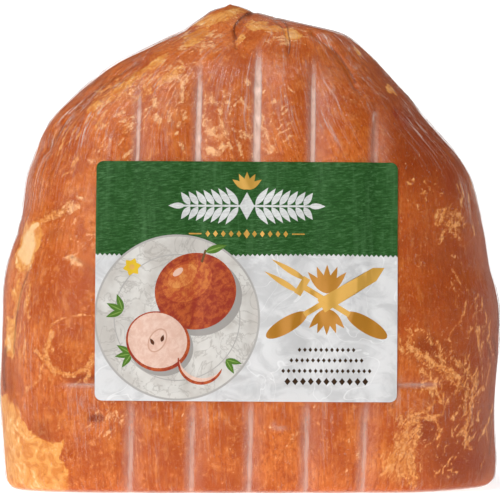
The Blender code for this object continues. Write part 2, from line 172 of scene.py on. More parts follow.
# Paler seams and strands between muscles, as (way across the front, half width, strength)
PALE_SEAMS = (
    (((-61.7, 71.4), (-67.5, 71.2), (-74.5, 70.2), (-78.5, 67), (-78.4, 64.1)), 0.5, 0.75),
    (((-78.4, 64.1), (-79.1, 61.2), (-81, 57.5), (-80.8, 54.2), (-79.7, 51.1), (-77.5, 48.7)), 0.85, 1),
    (((-77.5, 48.7), (-74.3, 47.9), (-70.8, 47.5), (-66.3, 49.5), (-64.1, 51.6), (-61.9, 56)), 0.85, 0.95),
    (((-85.2, 57.3), (-83.1, 55.1), (-80.6, 53.6)), 0.75, 0.95),
    (((-79.2, 46.7), (-80, 42.7), (-79.6, 38)), 0.45, 0.45),
    (((-82.8, 46.7), (-84.6, 44.2), (-87.2, 43.2), (-89.2, 40.9)), 0.6, 0.75),
    (((-86.2, 42.7), (-86.2, 33.8), (-87.2, 30.5)), 0.45, 0.4),
    (((-70.5, 43), (-67, 45.2), (-64.8, 46.4)), 0.45, 0.7),
    (((-65.6, 45), (-63.8, 48.5), (-62.5, 52)), 0.8, 0.9),
    (((-85, 108.6), (-78.7, 110.8), (-75.5, 112.7), (-71.8, 115.4)), 1.1, 0.85),
    (((-74.5, 107.5), (-72.2, 104), (-71.4, 99.5)), 0.4, 0.7),
    (((-77.5, 33.5), (-76.5, 28.5), (-77, 24.5)), 0.45, 0.6),
    (((62.1, 65.7), (64.4, 63.6), (63.2, 60.5), (62.6, 58.7)), 0.6, 0.8),
    (((65.3, 64.9), (68.4, 65.2), (71.1, 63.4)), 0.5, 0.7),
    (((62.6, 58.7), (66.6, 56.5), (71.1, 53.8), (75.5, 50.7), (80.3, 48.5), (83.4, 46.2)), 0.8, 0.9),
    (((65, 55), (70, 51.5), (76.8, 47.2), (81.6, 43.6)), 0.45, 0.8),
    (((74.6, 61), (75.6, 56), (76.2, 52.5)), 0.6, 0.7),
    (((79.4, 53), (80.3, 59.1), (79.4, 62.7), (83.4, 68.5)), 0.45, 0.7),
    (((68, 49.5), (71.1, 46.5), (73.8, 43.5)), 0.6, 0.8),
    (((68.4, 44.5), (71.1, 42.3), (74.2, 42.7), (74, 46)), 0.6, 0.85),
    (((74.2, 42.7), (75, 39), (76, 35.6)), 0.6, 0.85), (((80.3, 40.5), (78.1, 35.6)), 0.5, 0.6),
    (((93.3, 41.8), (90.1, 39.1), (87.8, 35.6), (86.9, 29.3), (85.6, 22.8), (88.3, 17)), 0.6, 0.85),
    (((83.4, 39.1), (86, 36.5)), 0.5, 0.7), (((79.9, 29.9), (83.4, 33.9)), 0.45, 0.7),
    (((79.9, 29.9), (85.6, 29)), 0.4, 0.7),
    (
        ((62.3, 21), (62.9, 26), (64, 30.3), (68, 32.5), (71.1, 31.6), (74.2, 28.5), (76, 25), (75, 21.5)),
        0.6, 0.9,
    ),
    (((62.9, 25), (60.4, 21.5), (57.8, 18.9)), 0.55, 0.75),
    (((67.5, 27), (66.5, 23), (66.2, 18.5)), 0.8, 0.85),
    (((63.5, 18.4), (63.1, 14.8), (64.4, 8.2)), 0.6, 0.85), (((65.7, 15.4), (66.2, 9.5)), 0.5, 0.75),
    (((60, 18.4), (58.6, 14)), 0.5, 0.7), (((57.8, 6.6), (60.4, 7.4), (62.5, 5)), 0.6, 0.7),
    (((74.4, 107.4), (74.8, 111.4), (76.8, 113.8), (80, 111.8), (83.2, 111.8), (86.5, 107.8)), 0.7, 0.75),
    (((76, 99.5), (77.2, 103), (79.6, 104.6), (83.6, 102.7), (85, 98.7)), 0.5, 0.65),
    (((81.2, 90), (82.5, 86.5), (82, 84.2)), 0.5, 0.65), (((83, 66.6), (85.5, 71.5), (87, 76.9)), 0.5, 0.7),
    (((88, 69.1), (92.5, 73.4)), 0.5, 0.6), (((65.3, 91.5), (67.5, 90.6), (69.6, 94)), 0.35, 0.5),
    (((62, 118), (66, 115.5), (69, 112)), 0.35, 0.55), (((70, 124), (76, 119), (80, 112.5)), 0.35, 0.5),
)
# Where fine marbling and wisps of fat show, as (x, z, half width, half height, strength)
WISP_FIELDS = (
    (-12, 146, 11, 20, 1), (6, 144, 7, 13, 0.9), (-31, 158, 10, 14, 0.8), (-20, 182, 12, 8, 0.8),
    (-50, 145, 14, 10, 0.5), (-56, 34, 9, 9, 0.9), (-70, 95, 12, 8, 0.5), (65, 20, 12, 18, 0.8),
    (77, 50, 16, 16, 0.75), (80, 105, 9, 10, 0.5), (-94, 60, 5, 22, 0.5),
)
# Where long feathery strands of fat lie close together, as (x, z, half width, half height, strength)
FEATHER_FIELDS = (
    (60, 18, 5.5, 11, 0.75), (56, 8, 6, 6, 0.6), (65, 12, 4, 8, 0.5), (66, 28, 6, 4.5, 0.4),
    (72, 53, 10, 6, 0.45), (76, 43, 7, 5, 0.35), (87, 28, 4, 12, 0.3), (85, 45, 5, 5, 0.4),
    (80, 107, 5.5, 5.5, 0.62), (-84, 18, 8, 8, 0.35), (-52, 158, 10, 7, 0.35), (-20, 176, 12, 5, 0.3),
)
# Thin strands and then paler wisps of fat that lie much one way: where, the area's half width and
# height, the way they lie in degrees, how many, and the half length and half width of one
STRAND_CLUSTERS = (
    (69, 57.5, 11, 5.5, -38, 22, 3.4, 0.46), (76, 49, 9, 5.5, -42, 20, 3, 0.44),
    (73, 41, 5, 6, 72, 12, 2.6, 0.46), (62.5, 24, 6.5, 9, 62, 30, 3.4, 0.44),
    (57, 12, 6, 7, 55, 18, 2.8, 0.42), (66, 11, 5, 8, 74, 14, 3, 0.44), (70, 29, 6, 4, 15, 10, 2.6, 0.44),
    (87.5, 33, 4.2, 15, 80, 30, 3.2, 0.42), (83, 46, 6, 7, 62, 14, 2.6, 0.42),
    (80, 13, 9, 9, -42, 18, 1.4, 0.42), (90, 60, 4, 20, 82, 16, 3.4, 0.4),
    (80, 108, 6.5, 6, 55, 24, 2.2, 0.55), (83, 86, 6, 14, -62, 14, 2.2, 0.36),
    (70, 122, 8, 8, -30, 12, 2, 0.4), (-80, 50, 4, 9, 75, 10, 2.2, 0.4), (-92, 74, 4, 24, 84, 30, 4, 0.6),
    (-50, 163.5, 15, 4.6, 42, 34, 3.6, 0.5), (-62, 152, 5, 8, 58, 16, 3.6, 0.44),
    (-74, 138, 6, 10, 62, 14, 3, 0.42), (94, 45, 4, 36, 84, 20, 4.4, 0.32),
    (79, 22, 9, 14, 70, 14, 2.6, 0.34), (88, 118, 6, 14, -68, 14, 3, 0.36),
)
WISP_CLUSTERS = (
    (-12, 150, 8, 14, -50, 30, 2.1, 0.55), (-14, 140.5, 7, 6, -20, 12, 1.9, 0.62),
    (2, 142, 6, 8, -58, 18, 2, 0.55), (13, 146, 6, 11, 48, 14, 1.9, 0.46),
    (-30, 158, 4.5, 14, 76, 22, 2.2, 0.52), (-26, 169, 9, 5, 22, 18, 2.2, 0.6),
    (-46, 151, 10, 6, 36, 18, 2, 0.5), (-57, 136, 9, 6, 36, 14, 1.8, 0.46),
    (-20, 181, 13, 5, 22, 26, 2.6, 0.62), (14, 184, 10, 4, 0, 14, 2.6, 0.5),
    (-57, 30, 9, 9, 60, 20, 1.6, 0.42), (-72, 112, 6, 4, 22, 10, 1.6, 0.52),
    (-62, 98, 8, 9, -28, 14, 1.6, 0.42), (0, 20, 60, 17, 80, 40, 1.2, 0.36),
)
STRAND_SEED = 4
# Browner skin, partly painted shade on the right side and in creases and hollows, as (x, z, half width, half
# height, strength)
SMOKE_AND_SHADE_FIELDS = (
    (82, 98, 26, 64, 0.56), (86, 24, 22, 34, 0.42), (102, 70, 7, 60, 0.34), (52, 162, 26, 24, 0.42),
    (66, 137, 12, 16, 0.48), (22, 172, 18, 8, 0.2), (85, 12, 12, 10, 0.45), (-97, 45, 4, 16, 0.5),
    (-76.5, 112.5, 7, 3.2, 0.45), (-79, 104, 4, 5, 0.45), (-83, 25, 6, 6, 0.5), (-66, 46.2, 7, 1.5, 0.9),
    (-61.4, 30, 2.6, 1.6, 1.5), (-55.8, 24.8, 1, 1, 0.9), (70.6, 25, 4, 4, 0.6), (70, 58, 6, 4, 0.5),
    (-60, 168, 14, 3, 0.2),
)
# Raw-red spots, as (x, z, half width, half height, strength)
RED_FIELDS = (
    (59, 152.5, 1.6, 1.8, 1), (62.6, 149.5, 2.6, 2.6, 0.8), (70, 141, 3, 5, 0.35), (80, 122, 3, 7, 0.5),
    (86, 12, 6, 2, 0.5),
)
# Painted shade along thin creases and film folds, as (way across the front, half width, strength)
SHADED_CREASE_LINES = (
    (((1, 195.4), (-2.5, 192.6), (-5, 190), (-6.6, 187), (-5.6, 183.5)), 0.34, 0.85),
    (((10.4, 192.4), (13.2, 190.8), (15, 188.2), (15.6, 184.5), (16.2, 181), (15.8, 176.6)), 0.26, 0.8),
    (((33, 180.5), (37, 175.5), (41, 169), (42.8, 165)), 0.25, 0.7),
    (((-71.5, 94.4), (-66, 91.5), (-61.8, 88.6)), 0.5, 0.3),
    (((-99.4, 57), (-99.8, 49), (-99, 41)), 0.7, 0.6),
    (((-89.8, 88), (-93.2, 79), (-95, 68), (-95.6, 56)), 0.5, 0.45),
    (((100.6, 90), (101.6, 78), (101, 64)), 0.8, 0.6), (((95.5, 60), (96.8, 50), (96.2, 38)), 0.4, 0.35),
    (((-45, 174.6), (-58, 166.4), (-68, 158.4), (-75.4, 149), (-82, 139)), 0.4, 0.34),
    (((-47, 177.2), (-58, 170.6), (-68, 162)), 0.3, 0.35), (((97.5, 100), (99, 92), (99.6, 84)), 0.35, 0.5),
    (((98, 62), (99.4, 54), (99, 46)), 0.35, 0.5), (((96.5, 34), (97.4, 24), (96.6, 14)), 0.35, 0.45),
)
# Pale, streaky mist where the film stands off, partly painted sheen and highlights, as (x, z, half width,
# half height, strength)
MIST_AND_SHEEN_FIELDS = (
    (-62, 146, 12, 9, 0.16), (-70, 130, 12, 20, 0.1), (-36, 146, 7, 16, 0.12), (-12, 165, 8, 18, 0.16),
    (9, 163, 6, 14, 0.14), (31, 154, 4.5, 20, 0.18), (54, 140, 3.5, 12, 0.16), (-67, 36, 5, 7, 0.26),
    (-67, 22, 3.5, 8, 0.22), (-59, 27, 4, 5, 0.2), (-40, 22, 5, 18, 0.1), (-16, 22, 5, 18, 0.1),
    (29, 20, 4, 18, 0.12), (60, 40, 5, 6, 0.12), (-88, 62, 5, 30, 0.16), (12, 191, 16, 3, 0.3),
    (30, 183, 4, 2.2, 0.6),
)
# Small spots where the film puckers and turns white, as (x, z, half width, half height, strength)
MILKY_SPOTS = (
    (2.9, 161.5, 1.6, 1.8, 0.3), (2.6, 150.5, 1.6, 1.8, 0.25), (-20.4, 142, 1.2, 1.4, 0.3),
    (49.6, 150.2, 0.5, 1.6, 0.36), (50.4, 152, 0.9, 0.5, 0.3), (11.6, 26.2, 2.6, 1, 0.3),
    (9.4, 28, 1, 1.2, 0.2),
)

# The label, in millimetres about its own middle
LABEL_WIDTH = 120.2
LABEL_HEIGHT = 95.4
LABEL_CORNER = 2.8
LABEL_TILT = -0.35
LABEL_THICKNESS = 0.16
LABEL_GAP = 0.1
LABEL_BRIDGING = 0.3
LABEL_SPACING = 1.15
FIELD_EDGE = 10.4
TOOTH_PITCH = 1.86
TOOTH_HEIGHT = 0.95
# The rows of small lozenges, from the top: how many, their size and their pitch
LOZENGE_ROWS = ((11, 1.5, 2.15), (14, 1.5, 2.15), (17, 1.5, 2.15), (11, 2.4, 3.1))
# The grid on which the film is felt under the label, how far round the label it goes, and how many
# of its steps the paper spans to either side
MAP_SPACING = 1.0
MAP_MARGIN = 3.0
SPAN_REACH = 3

# The camera, in metres, and its sensor in millimetres
CAMERA_DISTANCE = 1.6
CAMERA_HEIGHT = 0.0971
CAMERA_ACROSS = 0.0002
FRAME_WIDTH = 0.2058
SENSOR = 36.0

# The stage and its lamps, in metres and watts
STAGE_RADIUS = 3.0
STAGE_RISE = 1.2
WORLD_STRENGTH = 0.22
LIT_MIDDLE = (0.0, 0.0, 0.09)
LAMPS = (
    ("key", (-0.95, -1.6, 0.62), (1.0, 1.5), 14.4),
    ("top", (-0.35, -0.75, 1.6), (0.9, 0.7), 13.2),
    ("fill", (1.9, -1.2, 0.5), (1.0, 1.2), 1.2),
)


def smooth_step(low, high, value):
    t = np.clip((value - low) / (high - low), 0.0, 1.0)
    return t * t * (3.0 - 2.0 * t)


def smooth_curve(points, steps=24):
    """A Catmull-Rom curve through the points, as an array with steps rows for each stretch."""
    p = np.array(points, float)
    p = np.vstack([2 * p[0] - p[1], p, 2 * p[-1] - p[-2]])
    t = np.linspace(0.0, 1.0, steps, endpoint=False)[:, None]
    rows = []
    for a, b, c, d in zip(p[:-3], p[1:-2], p[2:-1], p[3:]):
        bend = 2 * a - 5 * b + 4 * c - d
        twist = -a + 3 * b - 3 * c + d
        rows.append(0.5 * (2 * b + (c - a) * t + bend * t**2 + twist * t**3))
    return np.vstack([*rows, p[-2:-1]])


def read_curve(table, size, at):
    """Each column of the table after its first, read over the first, which is a share of the height."""
    rows = smooth_curve(table)
    rows = rows[np.argsort(rows[:, 0], kind="stable")]
    return [np.interp(at / HEIGHT, rows[:, 0], rows[:, k]) * size / 2 for k in range(1, rows.shape[1])]


def reach(heights):
    """Left, right, front and back of the body at these heights."""
    left, right = read_curve(OUTLINE, WIDTH, heights)
    front, back = read_curve(SIDE_PROFILE, DEPTH, heights)
    return -left, right, -front, back


def unit_section(front_power, back_power):
    """A loop of unit reach, evenly spaced along its length, from the left over the front to the right."""
    turn = np.linspace(0.0, np.pi, 4000)
    halves = []
    for power, side, count in ((front_power, -1, FRONT_COLUMNS), (back_power, 1, BACK_COLUMNS)):
        across = -np.sign(np.cos(turn)) * np.abs(np.cos(turn)) ** (2 / power)
        out = np.abs(np.sin(turn)) ** (2 / power)
        steps = np.hypot(np.diff(across) * WIDTH, np.diff(out) * DEPTH)
        along = np.concatenate([[0.0], np.cumsum(steps)])
        wanted = np.linspace(0.0, along[-1], count, endpoint=False)
        x = np.interp(wanted, along, across) * -side
        y = np.interp(wanted, along, out) * side
        halves.append(np.stack([x, y], axis=1))
    return np.vstack(halves)


def ring_heights():
    """Heights of the wall's rings, closer together where the top rounds over."""
    fine = np.linspace(EDGE_ROUND, HEIGHT - 0.35, 4000)
    left, right, front, _ = reach(fine)
    sideways = np.maximum.reduce([np.diff(left) ** 2, np.diff(right) ** 2, np.diff(front) ** 2])
    along = np.concatenate([[0.0], np.cumsum(np.sqrt(np.diff(fine) ** 2 + sideways))])
    return np.interp(np.linspace(0.0, along[-1], WALL_RINGS), along, fine)


def plain_body():
    """The plain body's points, ring by ring, how far each faces the front, and its place in the wrap.

    The wrap is the way the film is drawn: round the body, measured as if every ring were as wide as
    the foot, and up from the foot.
    """
    turn = np.linspace(0.0, np.pi / 2, ROUND_RINGS, endpoint=False)
    heights = np.concatenate([EDGE_ROUND * (1 - np.cos(turn)), ring_heights()])
    inset = np.concatenate([EDGE_ROUND * (1 - np.sin(turn)), np.zeros(WALL_RINGS)])
    left, right, front, back = (side[:, None] for side in reach(heights))
    boxy, oval = unit_section(FRONT_POWER, BACK_POWER), unit_section(TOP_POWER, TOP_POWER)
    to_oval = smooth_step(0.72 * HEIGHT, 0.97 * HEIGHT, heights)[:, None, None]
    section = boxy * (1 - to_oval) + oval * to_oval
    half_width = (right - left) / 2 - inset[:, None]
    facing = -section[:, :, 1]
    x = (left + right) / 2 + section[:, :, 0] * half_width
    deep = np.where(facing > 0, -front, back) - inset[:, None]
    z = np.repeat(heights[:, None], x.shape[1], axis=1)
    up = np.concatenate([[0.0], np.cumsum(np.hypot(np.diff(heights), np.diff(half_width[:, 0])))])
    up = np.repeat(up[:, None], x.shape[1], axis=1)
    wrap = np.stack([section[:, :, 0] * WIDTH / 2, section[:, :, 1] * DEPTH / 2, up], axis=2)
    return np.stack([x, section[:, :, 1] * deep, z], axis=2), facing, wrap


def normals_of(grid):
    """Outward normals of the rings' points, level at the foot."""
    around = np.roll(grid, -1, axis=1) - np.roll(grid, 1, axis=1)
    out = np.cross(around, np.gradient(grid, axis=0))
    out[:, :, 2] *= smooth_step(EDGE_ROUND, 8 * EDGE_ROUND, grid[:, :, 2])
    return out / np.linalg.norm(out, axis=2, keepdims=True)


def lumps(points, size, seed=0.0):
    """Smooth noise from -1 to 1 at the points, whose lumps are about this size, in millimetres."""
    scaled = points.reshape(-1, 3) / np.array(size, float) + seed
    return np.array([noise.noise(p) for p in scaled.tolist()]).reshape(points.shape[:-1])


def crests(points, size, seed=0.0):
    """Thin ridges between broad hollows, from 0 to 1."""
    return np.clip(1 - 2.4 * np.abs(lumps(points, size, seed)), 0.0, 1.0) ** 2


def path_distance(x, z, path):
    """Distance from each place on the front to the nearest stretch of the path."""
    nearest = np.full(x.shape, np.inf)
    for (ax, az), (bx, bz) in zip(path[:-1], path[1:]):
        dx, dz = bx - ax, bz - az
        share = np.clip(((x - ax) * dx + (z - az) * dz) / (dx * dx + dz * dz), 0.0, 1.0)
        nearest = np.minimum(nearest, np.hypot(x - ax - share * dx, z - az - share * dz))
    return nearest


def bar_places(x, z, shift):
    """Signed distance across to the nearest rack bar, whether it still presses here, and which it is."""
    nearest, pressed, which = np.full(x.shape, np.inf), np.zeros(x.shape), np.zeros(x.shape, int)
    for index, (foot, above, end) in enumerate(zip(BARS_AT_FOOT, BARS_ABOVE, BAR_ENDS)):
        away = x - foot - (above - foot) * z / BARS_MEASURED_AT - shift
        here = np.abs(away) < np.abs(nearest)
        nearest = np.where(here, away, nearest)
        pressed = np.where(here, smooth_step(end + BAR_FADE, end - BAR_FADE, z), pressed)
        which = np.where(here, index, which)
    below_wire = (z - WIRE_HEIGHT) / WIRE_HALF_WIDTH + 2.8
    return nearest, pressed * (1 - 0.8 * np.exp(-((below_wire / 2.8) ** 2))), which


def bar_dip(x, z, shift, softness):
    """Depth of the rack bars' grooves, from 0 between the bars to 1 in a groove's middle."""
    away, pressed, _ = bar_places(x, z, shift)
    return np.clip(1 - np.hypot(away / (BAR_PITCH / 2), softness), 0.0, 1.0) ** 2 * pressed


def form_relief(grid, facing):
    """The relief that the ham and its film share."""
    x, z = grid[:, :, 0], grid[:, :, 2]
    on_front = smooth_step(0.12, 0.5, facing)
    on_back = smooth_step(0.3, 0.7, -facing)
    out = -BAR_DEPTH * bar_dip(x, z, 0.0, 0.1) * on_front
    out -= BAR_DEPTH * BACK_BAR_SHARE * bar_dip(x, z, BACK_BAR_SHIFT, 0.16) * on_back
    wire = np.exp(-(((z - WIRE_HEIGHT) / WIRE_HALF_WIDTH) ** 2))
    out -= WIRE_DEPTH * wire * smooth_step(1.12 * WIRE_REACH, 0.88 * WIRE_REACH, np.abs(x)) * on_front
    for path, depth, half_width in SEAMS:
        away = path_distance(x, z, path) / half_width
        out -= depth * np.exp(-(away**2)) * smooth_step(0.0, 0.2, facing)
    for middle_x, middle_z, radius, depth in HOLLOWS:
        away = np.hypot(x - middle_x, z - middle_z) / radius
        out -= depth * np.exp(-(away**2)) * on_front
    out += LUMP_DEPTH * lumps(grid, LUMP_SIZE) * smooth_step(0.0, LUMP_SIZE / 2, z)
    return out * smooth_step(HEIGHT, HEIGHT - 2 * BAR_DEPTH, z)


def shoulders(wrap, z):
    """1 along both sides of the body, in a band that widens upwards."""
    edge = np.abs(wrap[:, :, 0]) / (WIDTH / 2)
    high = smooth_step(0.45 * HEIGHT, 0.75 * HEIGHT, z)
    return smooth_step(0.97 - 0.26 * high, 1.0 - 0.10 * high, edge)


def film_folds(grid, wrap):
    """Heights of the film's fine folds, in millimetres, which run the way it was drawn."""
    z, x = grid[:, :, 2], grid[:, :, 0]
    ragged = smooth_step(-0.3, 0.3, lumps(wrap, (9.0, 9.0, 28.0), 4.0))
    long_folds = crests(wrap, (3.0, 3.0, 60.0), 7.0) + 0.6 * crests(wrap, (1.7, 1.7, 40.0), 3.0)
    edges = long_folds * shoulders(wrap, z) * (0.3 + 0.7 * ragged)
    band = smooth_step(0.62 * HEIGHT, 0.78 * HEIGHT, z) * smooth_step(0.99 * HEIGHT, 0.93 * HEIGHT, z)
    pleats = crests(wrap, (2.6, 2.6, 26.0), 11.0) * band * ragged
    low = smooth_step(24.0, 32.0, z) * smooth_step(44.0, 36.0, z) + smooth_step(9.0, 2.0, z)
    tucks = crests(wrap, (1.3, 1.3, 9.0), 21.0) * low * (np.abs(x) < 95.0)
    return edges, pleats, tucks


def warped(grid, size, amount, seed):
    """The points' x and z, moved about by noise so that what is drawn there has natural edges."""
    x = grid[:, :, 0] + amount * (lumps(grid, size, seed) + 0.5 * lumps(grid, size / 2.3, seed + 5.0))
    z = grid[:, :, 2] + amount * (lumps(grid, size, seed + 9.0) + 0.5 * lumps(grid, size / 2.3, seed + 14.0))
    return x, z


def inside(x, z, outline):
    """True for each place that lies inside the outline."""
    found = np.zeros(x.shape, bool)
    for (ax, az), (bx, bz) in zip(outline, np.roll(outline, -1, axis=0)):
        if az != bz:
            found ^= ((az > z) != (bz > z)) & (x < (bx - ax) * (z - az) / (bz - az) + ax)
    return found


def area_field(x, z, outlines, softness):
    """1 inside the outlines, falling off softly across their edges."""
    field = np.zeros(x.shape)
    for outline in outlines:
        ring = np.array(outline, float)
        away = path_distance(x, z, np.vstack([ring, ring[:1]]).tolist())
        away = np.where(inside(x, z, ring), away, -away)
        field = np.maximum(field, smooth_step(-softness, softness, away))
    return field


def patch_field(x, z, patches):
    """The strongest of several soft ovals at each place."""
    field = np.zeros(x.shape)
    for px, pz, long, wide, turn, *strength in patches:
        angle = np.radians(turn)
        u = ((x - px) * np.cos(angle) + (z - pz) * np.sin(angle)) / long
        v = (-(x - px) * np.sin(angle) + (z - pz) * np.cos(angle)) / wide
        top = strength[0] if strength else 1.0
        field = np.maximum(field, top * smooth_step(1.5, 0.4, np.hypot(u, v)))
    return field


def strands(clusters):
    """Short thin patches scattered over each cluster, which lie much the same way."""
    draw = np.random.default_rng(STRAND_SEED)
    found = []
    for x, z, wide, high, turn, count, long, thin in clusters:
        for _ in range(count):
            angle, away = draw.uniform(0.0, 2 * np.pi), np.sqrt(draw.uniform())
            place = (x + wide * away * np.cos(angle), z + high * away * np.sin(angle))
            size = (long * draw.uniform(0.5, 1.4), thin * draw.uniform(0.7, 1.4))
            found.append((*place, *size, turn + draw.normal(0.0, 15.0), draw.uniform(0.55, 1.0)))
    return found


def oval_field(x, z, ovals):
    """Soft upright ovals, added up."""
    field = np.zeros(x.shape)
    for px, pz, wide, high, strength in ovals:
        field += strength * np.exp(-(((x - px) / wide) ** 2) - ((z - pz) / high) ** 2)
    return field


def line_field(x, z, lines, spread=2.0):
    """The strongest of several soft lines at each place, which fade out at spread half widths."""
    field = np.zeros(x.shape)
    for path, half_width, strength in lines:
        curve = smooth_curve(path, 6)
        away = path_distance(x, z, curve.tolist())
        field = np.maximum(field, strength * smooth_step(spread * half_width, 0.2 * half_width, away))
    return field


def wire_span(x, z, half_width):
    """Where the film spans the cross wire's mark, at both of its ends."""
    wire = np.exp(-(((z - WIRE_HEIGHT + 0.4) / half_width) ** 2))
    return wire * smooth_step(WIRE_REACH + 3, WIRE_REACH - 6, np.abs(x)) * smooth_step(55.0, 60.0, np.abs(x))


def bridged(grid, facing):
    """Where the film spans a groove clear of the meat, from 0 to 1."""
    x, z = grid[:, :, 0], grid[:, :, 2]
    front_away, front_press, _ = bar_places(x, z, 0.0)
    back_away, back_press, _ = bar_places(x, z, BACK_BAR_SHIFT)
    front = np.exp(-((front_away / NOTCH_HALF_WIDTH) ** 2)) * front_press * smooth_step(0.12, 0.5, facing)
    back = np.exp(-((back_away / NOTCH_HALF_WIDTH) ** 2)) * back_press * smooth_step(0.3, 0.7, -facing)
    return np.maximum.reduce([front, 0.6 * back, 0.6 * wire_span(x, z, 0.8) * smooth_step(0.3, 0.6, facing)])


def strip_field(grid, facing):
    """Milky film over the grooves, with a soft left flank and a painted sheen to the right of each groove."""
    x, z = grid[:, :, 0], grid[:, :, 2]
    upper = smooth_step(*STRIPS_CHANGE_AT, z)
    field = np.zeros(x.shape)
    sides = ((0.0, smooth_step(0.12, 0.5, facing), 1.0), (BACK_BAR_SHIFT, -facing > 0.4, 0.7))
    for shift, side, share in sides:
        away, pressed, which = bar_places(x, z, shift)
        above, above_top, below, below_top = np.array(BAR_STRIPS).T[:, which]
        wide = below + (above - below) * upper
        top = below_top + (above_top - below_top) * upper
        core = top * smooth_step(1.5 * wide, 0.45 * wide, np.abs(away))
        flank = 0.2 * smooth_step(-4.4, -1.0, away) * (away < 0)
        # Painted sheen on the lit side to the right of each groove
        beside = 0.1 * smooth_step(7.5, 2.0, away) * (away > 0)
        field = np.maximum(field, np.maximum.reduce([core, flank, beside]) * pressed * side * share)
    spots = oval_field(x, z, MILKY_SPOTS)
    wire = 0.42 * wire_span(x, z, 0.7) * smooth_step(0.3, 0.6, facing)
    return np.maximum(field + spots * (facing > 0.3), wire)


def grid_mesh(name, rows, look, fields, wrap):
    """A closed mesh through the rings, flat across the foot and drawn to a tip on top."""
    columns = rows.shape[1]
    middle = rows[0].mean(axis=0)
    caps = [middle + (rows[0] - middle) * share for share in CAP_SHARES]
    tip = rows[-1].mean(axis=0) + np.array([0.0, 0.0, 0.3])
    points = np.vstack([*reversed(caps), *rows, middle, tip])
    total = len(rows) + len(CAP_SHARES)
    low = np.arange(total - 1)[:, None] * columns
    here, after = np.arange(columns)[None, :], (np.arange(columns)[None, :] + 1) % columns
    quads = np.stack([low + here, low + after, low + columns + after, low + columns + here], axis=2)
    faces = quads.reshape(-1, 4).tolist()
    last, ring = (total - 1) * columns, np.arange(columns)
    following = (ring + 1) % columns
    faces += np.stack([following, ring, np.full(columns, total * columns)], axis=1).tolist()
    faces += np.stack([last + ring, last + following, np.full(columns, total * columns + 1)], axis=1).tolist()
    made = add_object(name, points, faces, [look])
    for field, values in fields.items():
        inner = [values[0]] * len(CAP_SHARES)
        flat = np.concatenate([*inner, *values, values[0][:1], values[-1][:1]])
        made.data.attributes.new(field, "FLOAT", "POINT").data.foreach_set("value", flat.astype(np.float32))
    inner = [wrap[0] * [share, share, 1.0] for share in reversed(CAP_SHARES)]
    flat = np.vstack([*inner, *wrap, wrap[0].mean(axis=0), wrap[-1].mean(axis=0)]).astype(np.float32)
    made.data.attributes.new("wrap", "FLOAT_VECTOR", "POINT").data.foreach_set("vector", flat.ravel())
    return made


def add_object(name, points, faces, looks):
    mesh = bpy.data.meshes.new(name)
    mesh.from_pydata((np.asarray(points) * MM).tolist(), [], faces)
    for look in looks:
        mesh.materials.append(look)
    mesh.shade_smooth()
    made = bpy.data.objects.new(name, mesh)
    bpy.context.scene.collection.objects.link(made)
    return made


